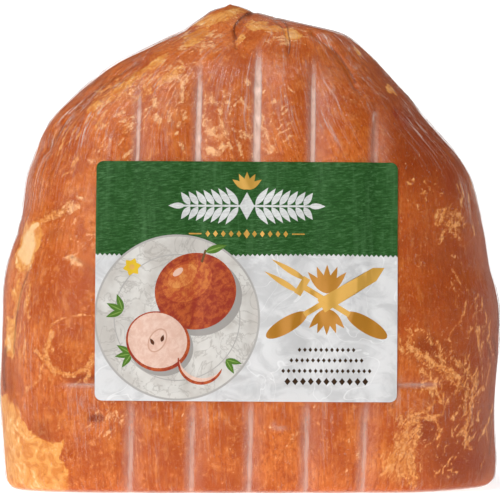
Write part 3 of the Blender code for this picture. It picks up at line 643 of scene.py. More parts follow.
class Nodes:
    """Short ways to lay out a material's nodes."""

    def __init__(self, name):
        self.material = bpy.data.materials.new(name)
        self.material.use_nodes = True
        self.tree = self.material.node_tree
        self.tree.nodes.clear()
        self.output = self.add("ShaderNodeOutputMaterial")
        self.place = self.add("ShaderNodeTexCoord").outputs["Object"]

    def add(self, kind, **settings):
        node = self.tree.nodes.new(kind)
        for key, value in settings.items():
            setattr(node, key, value)
        return node

    def link(self, source, target):
        if hasattr(source, "links"):
            self.tree.links.new(source, target)
        else:
            target.default_value = source

    def field(self, name):
        return self.add("ShaderNodeAttribute", attribute_name=name).outputs["Fac"]

    def math(self, kind, a, b=0.0, c=0.0):
        node = self.add("ShaderNodeMath", operation=kind)
        for value, socket in zip((a, b, c), node.inputs):
            self.link(value, socket)
        return node.outputs[0]

    def stretched(self, size, turn=0.0, wrapped=False):
        """Places in units of this size, in millimetres along x, y and z, turned in degrees about y."""
        turned = self.add("ShaderNodeMapping")
        scaled = self.add("ShaderNodeMapping")
        scale = MM
        source = self.place
        if wrapped:
            source = self.add("ShaderNodeAttribute", attribute_name="wrap").outputs["Vector"]
            scale = 1.0
        self.link(source, turned.inputs["Vector"])
        turned.inputs["Rotation"].default_value = (0.0, np.radians(turn), 0.0)
        self.link(turned.outputs[0], scaled.inputs["Vector"])
        scaled.inputs["Scale"].default_value = [1.0 / (scale * s) for s in size]
        return scaled.outputs[0]

    def noise(self, size, detail=2.0, roughness=0.5, distortion=0.0, turn=0.0, wrapped=False):
        node = self.add("ShaderNodeTexNoise")
        sizes = size if isinstance(size, tuple) else (size, size, size)
        self.link(self.stretched(sizes, turn, wrapped), node.inputs["Vector"])
        node.inputs["Scale"].default_value = 1.0
        node.inputs["Detail"].default_value = detail
        node.inputs["Roughness"].default_value = roughness
        node.inputs["Distortion"].default_value = distortion
        return node.outputs["Fac"]

    def cells(self, size):
        """Distance to the nearest of many scattered points, in units of this size."""
        node = self.add("ShaderNodeTexVoronoi")
        self.link(self.stretched((size, size, size)), node.inputs["Vector"])
        node.inputs["Scale"].default_value = 1.0
        return node.outputs["Distance"]

    def step(self, value, low, high, top=1.0):
        """A smooth step from 0 at low to top at high."""
        node = self.add("ShaderNodeMapRange", interpolation_type="SMOOTHSTEP")
        for source, key in ((value, "Value"), (low, "From Min"), (high, "From Max"), (top, "To Max")):
            self.link(source, node.inputs[key])
        return node.outputs["Result"]

    def mix(self, share, a, b):
        node = self.add("ShaderNodeMix", data_type="RGBA")
        for source, socket in ((share, node.inputs[0]), (a, node.inputs[6]), (b, node.inputs[7])):
            self.link(source, socket)
        return node.outputs[2]

    def layered(self, colour, layers):
        """The colour with each layer's paint laid on where its value steps from low to high."""
        for value, low, high, top, paint in layers:
            colour = self.mix(self.step(value, low, high, top), colour, paint)
        return colour

    def blend(self, share, a, b):
        """A mix of two shaders."""
        node = self.add("ShaderNodeMixShader")
        for source, socket in zip((share, a, b), node.inputs):
            self.link(source, socket)
        return node.outputs[0]

    def winding(self, *noise):
        """0 along winding lines, and more away from them."""
        return self.math("ABSOLUTE", self.math("SUBTRACT", self.noise(*noise), 0.5))

    def bump(self, height, distance_mm, strength=1.0, onto=None):
        node = self.add("ShaderNodeBump")
        node.inputs["Strength"].default_value = strength
        node.inputs["Distance"].default_value = distance_mm * MM
        self.link(height, node.inputs["Height"])
        if onto is not None:
            self.link(onto, node.inputs["Normal"])
        return node.outputs[0]

    def principled(self, **inputs):
        node = self.add("ShaderNodeBsdfPrincipled")
        for key, value in inputs.items():
            self.link(value, node.inputs[key.replace("_", " ")])
        return node.outputs[0]

    def finish(self, shader):
        self.tree.links.new(shader, self.output.inputs["Surface"])
        return self.material


MEAT_DEEP = (0.46, 0.078, 0.007, 1)
MEAT = (0.64, 0.148, 0.020, 1)
MEAT_ORANGE = (0.73, 0.205, 0.024, 1)
MEAT_PALE = (0.83, 0.31, 0.09, 1)
SMOKED = (0.29, 0.042, 0.003, 1)
RAW_RED = (0.27, 0.026, 0.006, 1)
FAT_CREAM = (0.98, 0.66, 0.33, 1)
FAT_YELLOW = (0.84, 0.37, 0.085, 1)
FAT_ORANGE = (0.70, 0.22, 0.030, 1)
SEAM_PALE = (0.86, 0.41, 0.14, 1)
SEAM_ORANGE = (0.76, 0.27, 0.055, 1)
FLECK_PALE = (0.95, 0.54, 0.25, 1)
CREASE_SHADE_COLOUR = (0.14, 0.028, 0.008, 1)
MILKY_AND_SHEEN = (0.96, 0.71, 0.60, 1)
PAPER_FOLD_HIGHLIGHT = (0.92, 0.92, 0.92, 1)
FLOOR_GREY = (0.66, 0.66, 0.66, 1)


def ham_material():
    """Smoked muscle with fat, pale seams and fine marbling, and painted shade in its browning and along its
    creases.
    """
    n = Nodes("ham")
    mid = n.noise((5, 5, 8), 5, 0.65, 0.8)
    grain = n.noise((1, 1, 13), 4, 0.7, 0.3, wrapped=True)
    speckle = n.noise((1.5, 1.5, 2.1), 4, 0.75)
    feather = n.noise((2.2, 2.2, 2.8), 5, 0.7, 1.4)
    ragged = n.math("SUBTRACT", feather, 0.5)
    fibrous = n.math("SUBTRACT", n.noise((2.6, 1.6, 1.1), 5, 0.7, 1.5, turn=60), 0.5)
    rough = n.math("ADD", ragged, fibrous)
    # Smoke browning, which also paints shade over the right side and into creases and hollows
    smoke_and_shade = n.math("MULTIPLY_ADD", n.math("SUBTRACT", mid, 0.5), 0.8, n.field("smoke_and_shade"))
    colour = n.mix(n.step(n.noise(20, 3), 0.36, 0.62), MEAT_DEEP, MEAT)
    layers = (
        (n.noise(11, 3, 0.6, 0.5), 0.50, 0.70, 0.5, MEAT_ORANGE),
        (mid, 0.54, 0.68, 0.5, MEAT_PALE),
        (mid, 0.48, 0.35, 0.8, MEAT_DEEP),
        (grain, 0.53, 0.66, 0.3, MEAT_PALE),
        (grain, 0.49, 0.38, 0.5, MEAT_DEEP),
        (speckle, 0.56, 0.66, 0.6, MEAT_PALE),
        (speckle, 0.47, 0.37, 0.8, MEAT_DEEP),
        (smoke_and_shade, 0.05, 0.8, 0.9, SMOKED),
    )
    colour = n.layered(colour, layers)
    combed = n.step(n.noise((0.9, 0.9, 30), 3, 0.65, wrapped=True), 0.50, 0.40, 0.75)
    colour = n.mix(n.math("MULTIPLY", combed, n.field("edge")), colour, SMOKED)
    colour = n.mix(n.math("MULTIPLY", n.field("red"), 0.85), colour, RAW_RED)
    wisp = n.field("wisp")
    for turn, size, low in ((48, (3.4, 2.2, 1.0), 0.64), (-42, (3.0, 2.2, 0.9), 0.65)):
        streak = n.noise(size, 5, 0.68, 1.4, turn=turn)
        edge = n.math("MULTIPLY_ADD", wisp, -0.09, low)
        share = n.math("MULTIPLY", n.step(n.math("SUBTRACT", streak, edge), 0.0, 0.10, 0.8), wisp)
        colour = n.mix(share, colour, FLECK_PALE)
    pale = n.mix(n.step(feather, 0.42, 0.60), SEAM_ORANGE, SEAM_PALE)
    strand = n.math("SUBTRACT", n.noise((4.0, 2.0, 1.2), 5, 0.68, 1.0, turn=64), 0.5)
    strand = n.math("MULTIPLY_ADD", strand, 2.4, n.field("feather"))
    colour = n.mix(n.step(strand, 0.54, 0.80, 0.7), colour, pale)
    threads = n.math("MULTIPLY_ADD", n.step(n.noise(1.3, 3, 0.7, 0.8), 0.42, 0.56), 0.5, 0.45)
    seam_field = n.field("seam")
    strand = n.math("MULTIPLY_ADD", rough, 1.3, n.field("strand"))
    seam = n.math("MULTIPLY_ADD", rough, 1.5, seam_field)
    fleck = n.math("MULTIPLY_ADD", rough, 2.4, n.field("fleck"))
    colour = n.mix(n.math("MULTIPLY", n.step(strand, 0.30, 0.80), threads), colour, pale)
    colour = n.mix(n.step(seam_field, 0.02, 0.35, 0.3), colour, MEAT_DEEP)
    colour = n.mix(n.math("MULTIPLY", n.step(seam, 0.42, 0.80), threads), colour, pale)
    colour = n.mix(n.math("MULTIPLY", n.step(fleck, 0.30, 1.05), threads), colour, FLECK_PALE)
    fat_field = n.field("fat")
    fat = n.math("MULTIPLY_ADD", n.math("ADD", ragged, n.math("MULTIPLY", fibrous, 0.6)), 1.5, fat_field)
    veins = n.noise(6, 6, 0.7, 1.0)
    fat_colour = n.mix(n.step(veins, 0.42, 0.54), FAT_ORANGE, FAT_YELLOW)
    layers = (
        (veins, 0.55, 0.68, 1.0, FAT_CREAM),
        (speckle, 0.47, 0.34, 0.35, FAT_ORANGE),
        (fat_field, 0.95, 1.3, 0.75, FAT_CREAM),
    )
    fat_colour = n.layered(fat_colour, layers)
    layers = (
        (fat, 0.38, 0.70, 1.0, fat_colour),
        (n.cells(4.2), 0.11, 0.05, 0.45, SMOKED),
        (n.cells(6.1), 0.08, 0.03, 0.5, FLECK_PALE),
    )
    colour = n.layered(colour, layers)
    # Painted shade along the creases and film folds
    colour = n.mix(n.field("crease_shade"), colour, CREASE_SHADE_COLOUR)
    bump = n.bump(mid, 0.8, 0.7, n.bump(grain, 0.20, 1.0, n.bump(speckle, 0.26)))
    shader = n.principled(
        Base_Color=colour,
        Roughness=0.55,
        Specular_IOR_Level=0.06,
        Subsurface_Weight=0.05,
        Subsurface_Scale=0.0015,
        Normal=bump,
    )
    return n.finish(shader)


def film_material():
    """Clear film: see-through, softly glossy, and milky where it stands off the meat, with painted sheen and
    glints laid on as milky haze.
    """
    n = Nodes("clear_film")
    drawn = n.noise((1.2, 1.2, 24), 2, 0.6, 0.2, wrapped=True)
    crumple = n.noise((1.5, 1.5, 2), 2, 0.6)
    bump = n.bump(crumple, 0.26, 0.9, n.bump(drawn, 0.36))
    even = n.step(n.noise((2, 2, 7), 3, 0.6), 0.25, 0.6)
    strip = n.math("MULTIPLY", n.field("strip"), n.math("MULTIPLY_ADD", even, 0.35, 0.65))
    streaks = n.step(n.noise((0.9, 0.9, 26), 3, 0.65, wrapped=True), 0.50, 0.62)
    clouds = n.step(n.noise((2, 2, 3.6), 5, 0.72, 0.6), 0.46, 0.66, 0.5)
    # Mist, which also paints the film's sheen where it would catch the lamps
    mist_and_sheen = n.math("MULTIPLY", n.field("mist_and_sheen"), n.math("ADD", streaks, clouds))
    # Painted glints: tiny pale specks laid on as milky haze
    painted_glints = n.step(n.noise((0.9, 0.9, 1.5), 3, 0.7), 0.62, 0.70, 0.22)
    haze = n.math("MAXIMUM", n.math("MAXIMUM", strip, mist_and_sheen), painted_glints)
    clear = n.add("ShaderNodeBsdfTransparent").outputs[0]
    milky_and_sheen = n.principled(Base_Color=MILKY_AND_SHEEN, Roughness=0.5, Specular_IOR_Level=0.1, Normal=bump)
    shine = n.add("ShaderNodeBsdfGlossy")
    shine.inputs["Color"].default_value = (1, 1, 1, 1)
    n.link(n.math("MULTIPLY_ADD", crumple, 0.16, 0.08), shine.inputs["Roughness"])
    n.link(bump, shine.inputs["Normal"])
    mirror = n.add("ShaderNodeFresnel")
    mirror.inputs["IOR"].default_value = FILM_REFRACTION
    n.link(bump, mirror.inputs["Normal"])
    share = n.math("MINIMUM", mirror.outputs[0], FILM_SHINE_LIMIT)
    return n.finish(n.blend(share, n.blend(haze, clear, milky_and_sheen), shine.outputs[0]))


def make_ham_and_film():
    """The ham and the film around it, both in the frame's place."""
    grid, facing, wrap = plain_body()
    normals = normals_of(grid)
    shared = form_relief(grid, facing)
    span = bridged(grid, facing)
    folds = sum(height * kind for height, kind in zip(FOLD_HEIGHTS, film_folds(grid, wrap)))
    folds += 0.05 * lumps(wrap, (1.6, 1.6, 6.0), 13.0)
    z = grid[:, :, 2]
    folds *= smooth_step(HEIGHT + 1.0, HEIGHT - 6.0, z) * smooth_step(0.0, 4.0, z)
    film = grid + normals * (shared + folds)[:, :, None]
    loose = FILM_GAP + NOTCH_DEPTH * span + 0.05 * (1 + lumps(grid, 9.0, 2.0))
    meat = grid + normals * (shared - loose)[:, :, None]
    for rows in (film, meat):
        rows[0, :, 2] = 0.0
        lift = RIGHT_LIFT * smooth_step(62.0, 104.0, rows[:, :, 0]) * smooth_step(24.0, 0.0, rows[:, :, 2])
        rows[:, :, 2] += lift
    meat[:, :, 2] += MEAT_LIFT * smooth_step(12.0, 0.0, meat[:, :, 2])
    offset = frame_offset(film)
    ham = grid_mesh("ham", meat + offset, ham_material(), meat_fields(grid, facing, wrap), wrap)
    sealed = grid_mesh("clear_film", film + offset, film_material(), film_fields(grid, facing, wrap), wrap)
    return ham, sealed


def fat_fields(soft, near):
    """Fat, pale seams, strands and flecks, read at broadly warped and at finely warped places."""
    return {
        "fat": np.maximum(area_field(*soft, FAT_AREAS, 1.4), patch_field(*soft, FAT_PATCHES)),
        "seam": line_field(*near, PALE_SEAMS, 2.7),
        "strand": patch_field(*near, strands(STRAND_CLUSTERS)),
        "fleck": patch_field(*near, [*FAT_FLECKS, *strands(WISP_CLUSTERS)]),
        "feather": np.clip(oval_field(*soft, FEATHER_FIELDS), 0.0, 0.8),
        "wisp": np.clip(oval_field(*soft, WISP_FIELDS), 0.0, 1.0),
        "smoke_and_shade": oval_field(*soft, SMOKE_AND_SHADE_FIELDS),
    }


def meat_fields(grid, facing, wrap):
    """How much of each kind of fat, seam, browning and painted shade there is at each point.

    The fat goes round both ends of the ham, so the back has the front's layout, pulled well out of shape.
    """
    front = smooth_step(-0.1, 0.15, facing)
    x, z = grid[:, :, 0], grid[:, :, 2]
    near = warped(grid, 3.4, 0.9, 8.0)
    shown = fat_fields(warped(grid, 7.0, 1.6, 3.0), near)
    far_x, far_z = warped(grid + [0.0, 200.0, 0.0], 30.0, 16.0, 3.0)
    hidden = fat_fields((far_x, far_z), (far_x + near[0] - x, far_z + near[1] - z))
    fields = {name: shown[name] * front + hidden[name] * (1 - front) for name in shown}
    fields["edge"] = shoulders(wrap, z)
    fields["red"] = np.clip(oval_field(*near, RED_FIELDS), 0.0, 1.0) * front
    # Painted shade along the creases and film folds
    fields["crease_shade"] = line_field(x, z, SHADED_CREASE_LINES) * front
    return fields


def film_fields(grid, facing, wrap):
    """Where the film is milky: strips over the grooves, and mist in folds and along the sides, partly painted
    sheen and highlights.
    """
    x, z = grid[:, :, 0], grid[:, :, 2]
    side = np.abs(wrap[:, :, 0]) / (WIDTH / 2)
    mist_and_sheen = np.clip(oval_field(x, z, MIST_AND_SHEEN_FIELDS), 0.0, 0.6) * (facing > 0.0)
    # Painted sheen along both sides of the body
    mist_and_sheen += 0.05 * smooth_step(0.94, 1.0, side)
    # Milky fold crests, partly painted highlight
    for share, kind in zip(FOLD_MISTS_AND_HIGHLIGHTS, film_folds(grid, wrap)):
        mist_and_sheen += share * np.clip(kind, 0.0, 1.2)
    foot = 0.36 * smooth_step(1.5, 0.4, z)
    return {"strip": np.maximum(strip_field(grid, facing), foot), "mist_and_sheen": np.clip(mist_and_sheen, 0.0, 0.8)}


def frame_offset(rows):
    """How far to move the body so that it fills the frame's solid."""
    low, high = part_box("ham_in_film")
    middle = (rows.min(axis=(0, 1)) + rows.max(axis=(0, 1))) / 2
    wanted = (np.array(low) + np.array(high)) / 2 / MM
    return np.array([wanted[0] - middle[0], wanted[1] - middle[1], 0.0])


def turned(points, x, z, turn):
    """The points turned by this many degrees and moved here."""
    cosine, sine = np.cos(np.radians(turn)), np.sin(np.radians(turn))
    u, v = np.asarray(points, float).T
    return np.stack([x + u * cosine - v * sine, z + u * sine + v * cosine], axis=1)


def circle(x, z, radius, count=40, squash=1.0, turn=0.0):
    angle = np.linspace(0.0, 2 * np.pi, count, endpoint=False)
    return turned(np.stack([radius * np.cos(angle), radius * squash * np.sin(angle)], axis=1), x, z, turn)


def leaf(x, z, length, width, turn, count=9):
    """A pointed leaf that starts at this place and points this way, in degrees."""
    along = np.linspace(0.0, 1.0, count)
    swell = width / 2 * np.sin(np.pi * along**0.8)
    u = np.concatenate([along * length, along[-2:0:-1] * length])
    v = np.concatenate([swell, -swell[-2:0:-1]])
    return turned(np.stack([u, v], axis=1), x, z, turn)


def bar(x, z, length, width, turn=0.0):
    """A straight strip centred here."""
    u, v = np.array([1, 1, -1, -1]) * length / 2, np.array([-1, 1, 1, -1]) * width / 2
    return turned(np.stack([u, v], axis=1), x, z, turn)


def lozenge(x, z, wide, high):
    return np.array([(x + wide / 2, z), (x, z + high / 2), (x - wide / 2, z), (x, z - high / 2)])


def label_outline():
    points = []
    turn = np.linspace(0.0, np.pi / 2, 8)
    half = (LABEL_WIDTH / 2 - LABEL_CORNER, LABEL_HEIGHT / 2 - LABEL_CORNER)
    for quarter, (sign_x, sign_z) in enumerate(((1, 1), (-1, 1), (-1, -1), (1, -1))):
        angle = turn + quarter * np.pi / 2
        x = sign_x * half[0] + LABEL_CORNER * np.cos(angle)
        z = sign_z * half[1] + LABEL_CORNER * np.sin(angle)
        points.extend(zip(x, z))
    edge = []
    for start, end in zip(points, points[1:] + points[:1]):
        count = max(1, int(np.hypot(end[0] - start[0], end[1] - start[1]) / LABEL_SPACING))
        share = np.linspace(0.0, 1.0, count, endpoint=False)[:, None]
        edge.append(np.array(start) * (1 - share) + np.array(end) * share)
    return np.vstack(edge)


def header_field():
    """The green field, down to its toothed edge."""
    half = LABEL_WIDTH / 2 + 1.0
    count = int(2 * half / TOOTH_PITCH) * 2
    x = np.linspace(-half, half, count)
    z = FIELD_EDGE + 0.3 * np.sin(x / 17.0) + TOOTH_HEIGHT * (np.arange(count) % 2 - 0.5)
    edge = np.stack([x, z], axis=1)
    top = LABEL_HEIGHT / 2 + 1.0
    return np.vstack([edge, [(half, top), (-half, top)]])


def garland():
    """A leafy garland across the green field, with a rule of lozenges and dashes under it."""
    stem, rule = 30.0, 18.9
    shapes = []
    for side in (-1, 1):
        lean = 0 if side > 0 else 180
        for step in range(7):
            x, length = side * (3.4 + 3.2 * step), 8.6 - 0.42 * step
            shapes.append(("white", leaf(x, stem + 0.4, length, 2.6, lean + side * 54)))
            shapes.append(("white", leaf(x, stem - 0.4, length, 2.6, lean - side * 54)))
        shapes.append(("white", leaf(side * 24.6, stem, 6.6, 2.4, lean)))
        shapes.append(("white", bar(side * 14, stem, 24, 0.8)))
        shapes.append(("gold", bar(side * 20.5, rule, 5, 0.5)))
        shapes += [("gold", lozenge(side * (3.1 + 3.1 * step), rule, 1.9, 2.6)) for step in range(5)]
    shapes += [("white", lozenge(0, stem, 6, 11)), ("gold", lozenge(0, rule, 2.6, 3.6))]
    shapes += [("gold", leaf(0, stem + 6.6, 7, 2.4, turn)) for turn in (34, 62, 90, 118, 146)]
    return shapes


def sprig(x, z, turns, length):
    """A few small green leaves from one place."""
    shapes = []
    for turn in turns:
        shapes.append(("leaf", leaf(x, z, length, 0.36 * length, turn)))
        shapes.append(("leaf_rib", leaf(x, z, 0.86 * length, 0.06 * length, turn)))
    return shapes


def fruit_plate():
    """A pale round plate with an apple, a cut half, a wedge, leaves and a yellow blossom."""
    x, z = -27.5, -14.5
    half_x, half_z = -35.2, -23.6
    outer, inner = circle(-17.2, -29, 9.6, 40), circle(-17.9, -31.4, 8.6, 40)
    blossom = [("yellow", leaf(-45.5, 5.5, 3.7, 2.7, 60 * step + 12)) for step in range(6)]
    return [
        ("plate_rim", circle(x, z, 33, 90)),
        ("plate", circle(x, z, 32.2, 90)),
        ("plate_rim", circle(x, z, 25.2, 80)),
        ("plate", circle(x, z, 24.8, 80)),
        *sprig(-49, -12, (110, 155, 200), 7.2),
        *sprig(-45.5, -29, (190, 235, 150), 6.8),
        *sprig(-8, -31, (-60, -15), 6.6),
        ("shade", circle(-18.6, -6.4, 17, 50, 0.9, 12)),
        ("apple", circle(-20.2, -4, 16.2, 60, 0.94, 12)),
        ("apple_light", circle(-23.5, 0, 10.5, 44, 0.72, 30)),
        ("apple_glow", circle(-25.5, 2, 6.4, 34, 0.62, 34)),
        ("apple_shine", circle(-27.2, 3.6, 2.4, 24, 0.5, 38)),
        ("stem", bar(-17, 10, 5.2, 0.9, 72)),
        *sprig(-16.4, 11.6, (18,), 9),
        ("shade", circle(-34, -25.8, 13.2, 44, 0.9, -20)),
        ("apple", circle(-35, -24, 12.9, 50, 0.92, -20)),
        ("flesh", circle(half_x, half_z, 11.9, 50, 0.92, -20)),
        ("flesh_deep", circle(half_x, half_z, 5.2, 30, 0.66, 60)),
        ("flesh", circle(half_x, half_z, 4.6, 30, 0.62, 60)),
        ("seed", leaf(-36.6, -25.4, 3, 1.4, 120)),
        ("seed", leaf(-33.6, -24.2, 3, 1.4, 75)),
        ("apple", np.vstack([circle(-18, -32, 9.2, 40)[19:38], outer[36:20:-1]])),
        ("flesh", np.vstack([inner[20:38], outer[36:21:-1]])),
        *blossom,
        ("gold", circle(-45.5, 5.5, 1.1, 16)),
    ]


def block(start, end, half):
    """The corners of a straight piece from start to end, this far to either side of its middle line."""
    return [(start, -half), (end, -half), (end, half), (start, half)]


def cutlery():
    """A carving fork and a knife, crossed over gold leaves, above rows of small brown lozenges."""
    x, z = 32.0, -7.6
    knife, fork = 31, 149
    blade = [(-3, 2.4), (22.5, 2), (26.5, -0.4), (21, -3.2), (-3, -3.5)]
    prongs = [block(-3, 12, 1.1), block(10, 13, 3.8)]
    shapes = []
    for turn in (48, 69, 90, 111, 132):
        shapes.append(("gold_deep", leaf(x, z + 3, 11.5, 3.2, turn)))
        shapes.append(("gold_deep", leaf(x, z - 3, 10.5, 3.2, -turn)))
    for turn, pieces in ((knife, [blade]), (fork, prongs)):
        shapes.append(("gold_deep", circle(*turned([(-18.6, 0)], x, z, turn)[0], 9.4, 30, 0.33, turn)))
        for corners in (block(-10.5, -2, 1.1), *pieces):
            shapes.append(("gold", turned(corners, x, z, turn)))
    tines = turned([(11, -2.8), (11, 2.8)], x, z, fork)
    shapes += [("gold", leaf(*start, 16.5, 2.4, fork)) for start in tines]
    for row, (count, size, pitch) in enumerate(LOZENGE_ROWS):
        height = -27.0 - 4.2 * row
        for step in range(count):
            across = x + pitch * (step - (count - 1) / 2)
            shapes.append(("brown", lozenge(across, height, size, size * 1.25)))
    return shapes


def label_sheet(shapes):
    """The flat label cut into triangles along every printed edge: points, triangles and their inks."""
    edge = label_outline()
    points, edges = [tuple(p) for p in edge], []
    inset = LABEL_SPACING * 0.6
    for ink, shape in shapes:
        first = len(points)
        points.extend(tuple(p) for p in shape)
        edges.extend((first + k, first + (k + 1) % len(shape)) for k in range(len(shape)))
    half = (LABEL_WIDTH / 2 - inset, LABEL_HEIGHT / 2 - inset)
    across = np.linspace(-half[0], half[0], int(2 * half[0] / LABEL_SPACING))
    up = np.linspace(-half[1], half[1], int(2 * half[1] / LABEL_SPACING))
    points.extend((x, z) for x in across[1:-1] for z in up[1:-1])
    loop = [list(range(len(edge)))]
    found = delaunay_2d_cdt([Vector(p) for p in points], edges, loop, 1, 1e-5)
    flat, faces = np.array([tuple(p) for p in found[0]]), [tuple(f) for f in found[2]]
    middles = np.array([flat[list(f)].mean(axis=0) for f in faces])
    kept = inside(middles[:, 0], middles[:, 1], edge)
    faces, middles = [f for f, keep in zip(faces, kept) if keep], middles[kept]
    inks = np.full(len(faces), "paper", dtype=object)
    for ink, shape in shapes:
        inks[inside(middles[:, 0], middles[:, 1], shape)] = ink
    used = sorted({i for f in faces for i in f})
    renumbered = {old: new for new, old in enumerate(used)}
    return flat[used], [tuple(renumbered[i] for i in f) for f in faces], inks


def height_map(tree, across, up):
    """The y of the front at each place of a grid, in millimetres."""
    found = np.zeros((len(across), len(up)))
    ahead = Vector((0.0, 1.0, 0.0))
    for i, x in enumerate(across):
        for k, z in enumerate(up):
            found[i, k] = tree.ray_cast(Vector((x * MM, -0.2, z * MM)), ahead)[0].y / MM
    return found


def softened(values, passes):
    """The grid's values, each drawn towards its four neighbours this many times."""
    for _ in range(passes):
        padded = np.pad(values, 1, mode="edge")
        beside = padded[:-2, 1:-1] + padded[2:, 1:-1] + padded[1:-1, :-2] + padded[1:-1, 2:]
        values = (beside + values * 2) / 6
    return values


def read_map(values, across, up, places):
    """The map's value at each place, by bilinear interpolation."""
    u = np.clip((places[:, 0] - across[0]) / (across[1] - across[0]), 0, len(across) - 1.001)
    v = np.clip((places[:, 1] - up[0]) / (up[1] - up[0]), 0, len(up) - 1.001)
    i, k = u.astype(int), v.astype(int)
    fu, fv = u - i, v - k
    low = values[i, k] * (1 - fu) + values[i + 1, k] * fu
    high = values[i, k + 1] * (1 - fu) + values[i + 1, k + 1] * fu
    return low * (1 - fv) + high * fv


def shade(colour, factor=1.0, lift=0.0):
    """The colour made lighter or darker, with an alpha of 1."""
    return tuple(min(1.0, c * factor + lift) for c in colour[:3]) + (1,)


def label_looks():
    """One printed material for each ink."""
    plain = {
        "green": ((0.022, 0.092, 0.018), {"fleck": 0.65}),
        "white": ((0.66, 0.67, 0.66), {"fleck": 0.3}),
        "gold": ((0.56, 0.31, 0.055), {"sheen": 0.6}),
        "gold_deep": ((0.42, 0.18, 0.018), {"sheen": 0.6}),
        "brown": ((0.045, 0.022, 0.010), {}),
        "plate_rim": ((0.44, 0.42, 0.40), {}),
        "shade": ((0.36, 0.34, 0.32), {}),
        "leaf": ((0.085, 0.19, 0.025), {"fleck": 0.15}),
        "leaf_rib": ((0.22, 0.36, 0.08), {}),
        "apple_shine": ((0.82, 0.52, 0.40), {}),
        "flesh_deep": ((0.62, 0.36, 0.27), {}),
        "seed": ((0.10, 0.03, 0.012), {}),
        "stem": ((0.16, 0.08, 0.03), {}),
        "yellow": ((0.76, 0.50, 0.03), {}),
    }
    streaked = {
        "apple": ((0.30, 0.028, 0.010), (0.50, 0.10, 0.02)),
        "apple_light": ((0.42, 0.055, 0.015), (0.62, 0.18, 0.035)),
        "apple_glow": ((0.55, 0.11, 0.025), (0.72, 0.28, 0.07)),
        "flesh": ((0.72, 0.46, 0.36), (0.80, 0.57, 0.47)),
    }
    looks = {"paper": print_material("paper", (0.73, 0.73, 0.73), crumple=1.0), "plate": marble_material()}
    for ink, (colour, extra) in plain.items():
        looks[ink] = print_material(f"{ink}_ink", colour, **extra)
    for ink, (deep, light) in streaked.items():
        looks[ink] = streaked_material(f"{ink}_ink", deep, light)
    return looks


def paper_bump(n):
    """The paper's crumples and fine tooth."""
    bump = n.bump(n.step(n.winding(16, 3, 0.5, 0.7), 0.0, 0.22), 0.5, 0.35)
    return n.bump(n.noise((0.5, 0.5, 0.35), 2), 0.05, 0.5, bump)


def print_material(name, ink, crumple=0.0, fleck=0.0, sheen=0.0):
    """Ink on satin paper. Crumple mottles it with painted shade and painted fold highlights, fleck shows the
    paper's threads, and sheen sweeps over it.
    """
    n = Nodes(name)
    colour = n.mix(n.step(n.noise(24, 2), 0.3, 0.7, 0.2), shade(ink), shade(ink, 0.8))
    layers = []
    if crumple:
        # Painted shade of crumples in soft grey, and painted highlights along fine folds
        layers.append((n.noise((13, 13, 9), 5, 0.6, 0.9), 0.60, 0.36, 0.55 * crumple, shade(ink, 0.62)))
        layers.append((n.winding(19, 2, 0.5, 1.1), 0.010, 0.0, 0.5, PAPER_FOLD_HIGHLIGHT))
    if fleck:
        threads = n.noise((3.6, 1, 0.6), 4, 0.8, turn=6)
        light = shade(ink, 1.9, 0.05)
        layers.append((threads, 0.50, 0.66, fleck, light))
        layers.append((threads, 0.50, 0.36, fleck, shade(ink, 0.5)))
        layers.append((n.noise((4, 9, 60), 3, 0.6), 0.52, 0.68, 0.4 * fleck, light))
    if sheen:
        layers.append((n.noise((9, 1, 30), 1, 0.4), 0.42, 0.62, sheen, shade(ink, 1.5, 0.05)))
    return n.finish(printed(n, n.layered(colour, layers), 0.5, 0.1))


def printed(n, colour, roughness, specular):
    """The paper's surface in this colour."""
    return n.principled(
        Base_Color=colour, Roughness=roughness, Specular_IOR_Level=specular, Normal=paper_bump(n)
    )


def marble_material():
    """Pale veined stone, as printed."""
    n = Nodes("plate_ink")
    colour = n.mix(n.step(n.noise(9, 3), 0.35, 0.65), shade((0.54, 0.51, 0.47)), shade((0.68, 0.66, 0.62)))
    colour = n.mix(n.step(n.winding(13, 5, 0.6, 1.6), 0.030, 0.0, 0.5), colour, shade((0.34, 0.31, 0.28)))
    return n.finish(printed(n, colour, 0.55, 0.25))


def streaked_material(name, deep, light):
    """Streaked fruit skin or flesh, as printed."""
    n = Nodes(name)
    streak = n.noise((3.4, 1, 2.6), 5, 0.72, 0.3, turn=40)
    colour = n.mix(n.step(streak, 0.40, 0.64), shade(deep), shade(light))
    return n.finish(printed(n, colour, 0.5, 0.25))


def label_back(film, places):
    """The y of the label's back at each place: it follows the film, and spans its grooves in part."""
    mesh = film.data
    tree = BVHTree.FromPolygons([v.co for v in mesh.vertices], [p.vertices for p in mesh.polygons])
    x, z = places.T
    across = np.arange(x.min() - MAP_MARGIN, x.max() + MAP_MARGIN, MAP_SPACING)
    up = np.arange(z.min() - MAP_MARGIN, z.max() + MAP_MARGIN, MAP_SPACING)
    front = height_map(tree, across, up)
    wide, high = front.shape
    far = SPAN_REACH
    padded = np.pad(front, far, mode="edge")
    span = np.minimum.reduce([padded[k : k + wide, far:-far] for k in range(2 * far + 1)])
    steps = (far - 1, far, far + 1)
    near = np.minimum.reduce([padded[i : i + wide, k : k + high] for i in steps for k in steps])
    lie = softened((1 - LABEL_BRIDGING) * near + LABEL_BRIDGING * span, 2)
    back = read_map(np.minimum(lie, near), across, up, places) - LABEL_GAP
    flat = np.stack([x, np.zeros_like(x), z], axis=1)
    return back - 0.06 * crests(flat, (16, 1, 9), 31.0) - 0.05 * (1 + lumps(flat, 7.0, 5.0))


def rim_faces(faces, count):
    """Faces that join the open edge of a sheet to the same edge of its copy, count points further on."""
    once = {}
    for face in faces:
        for a, b in zip(face, face[1:] + face[:1]):
            if (b, a) in once:
                del once[(b, a)]
            else:
                once[(a, b)] = True
    return [(b, a, a + count, b + count) for a, b in once]


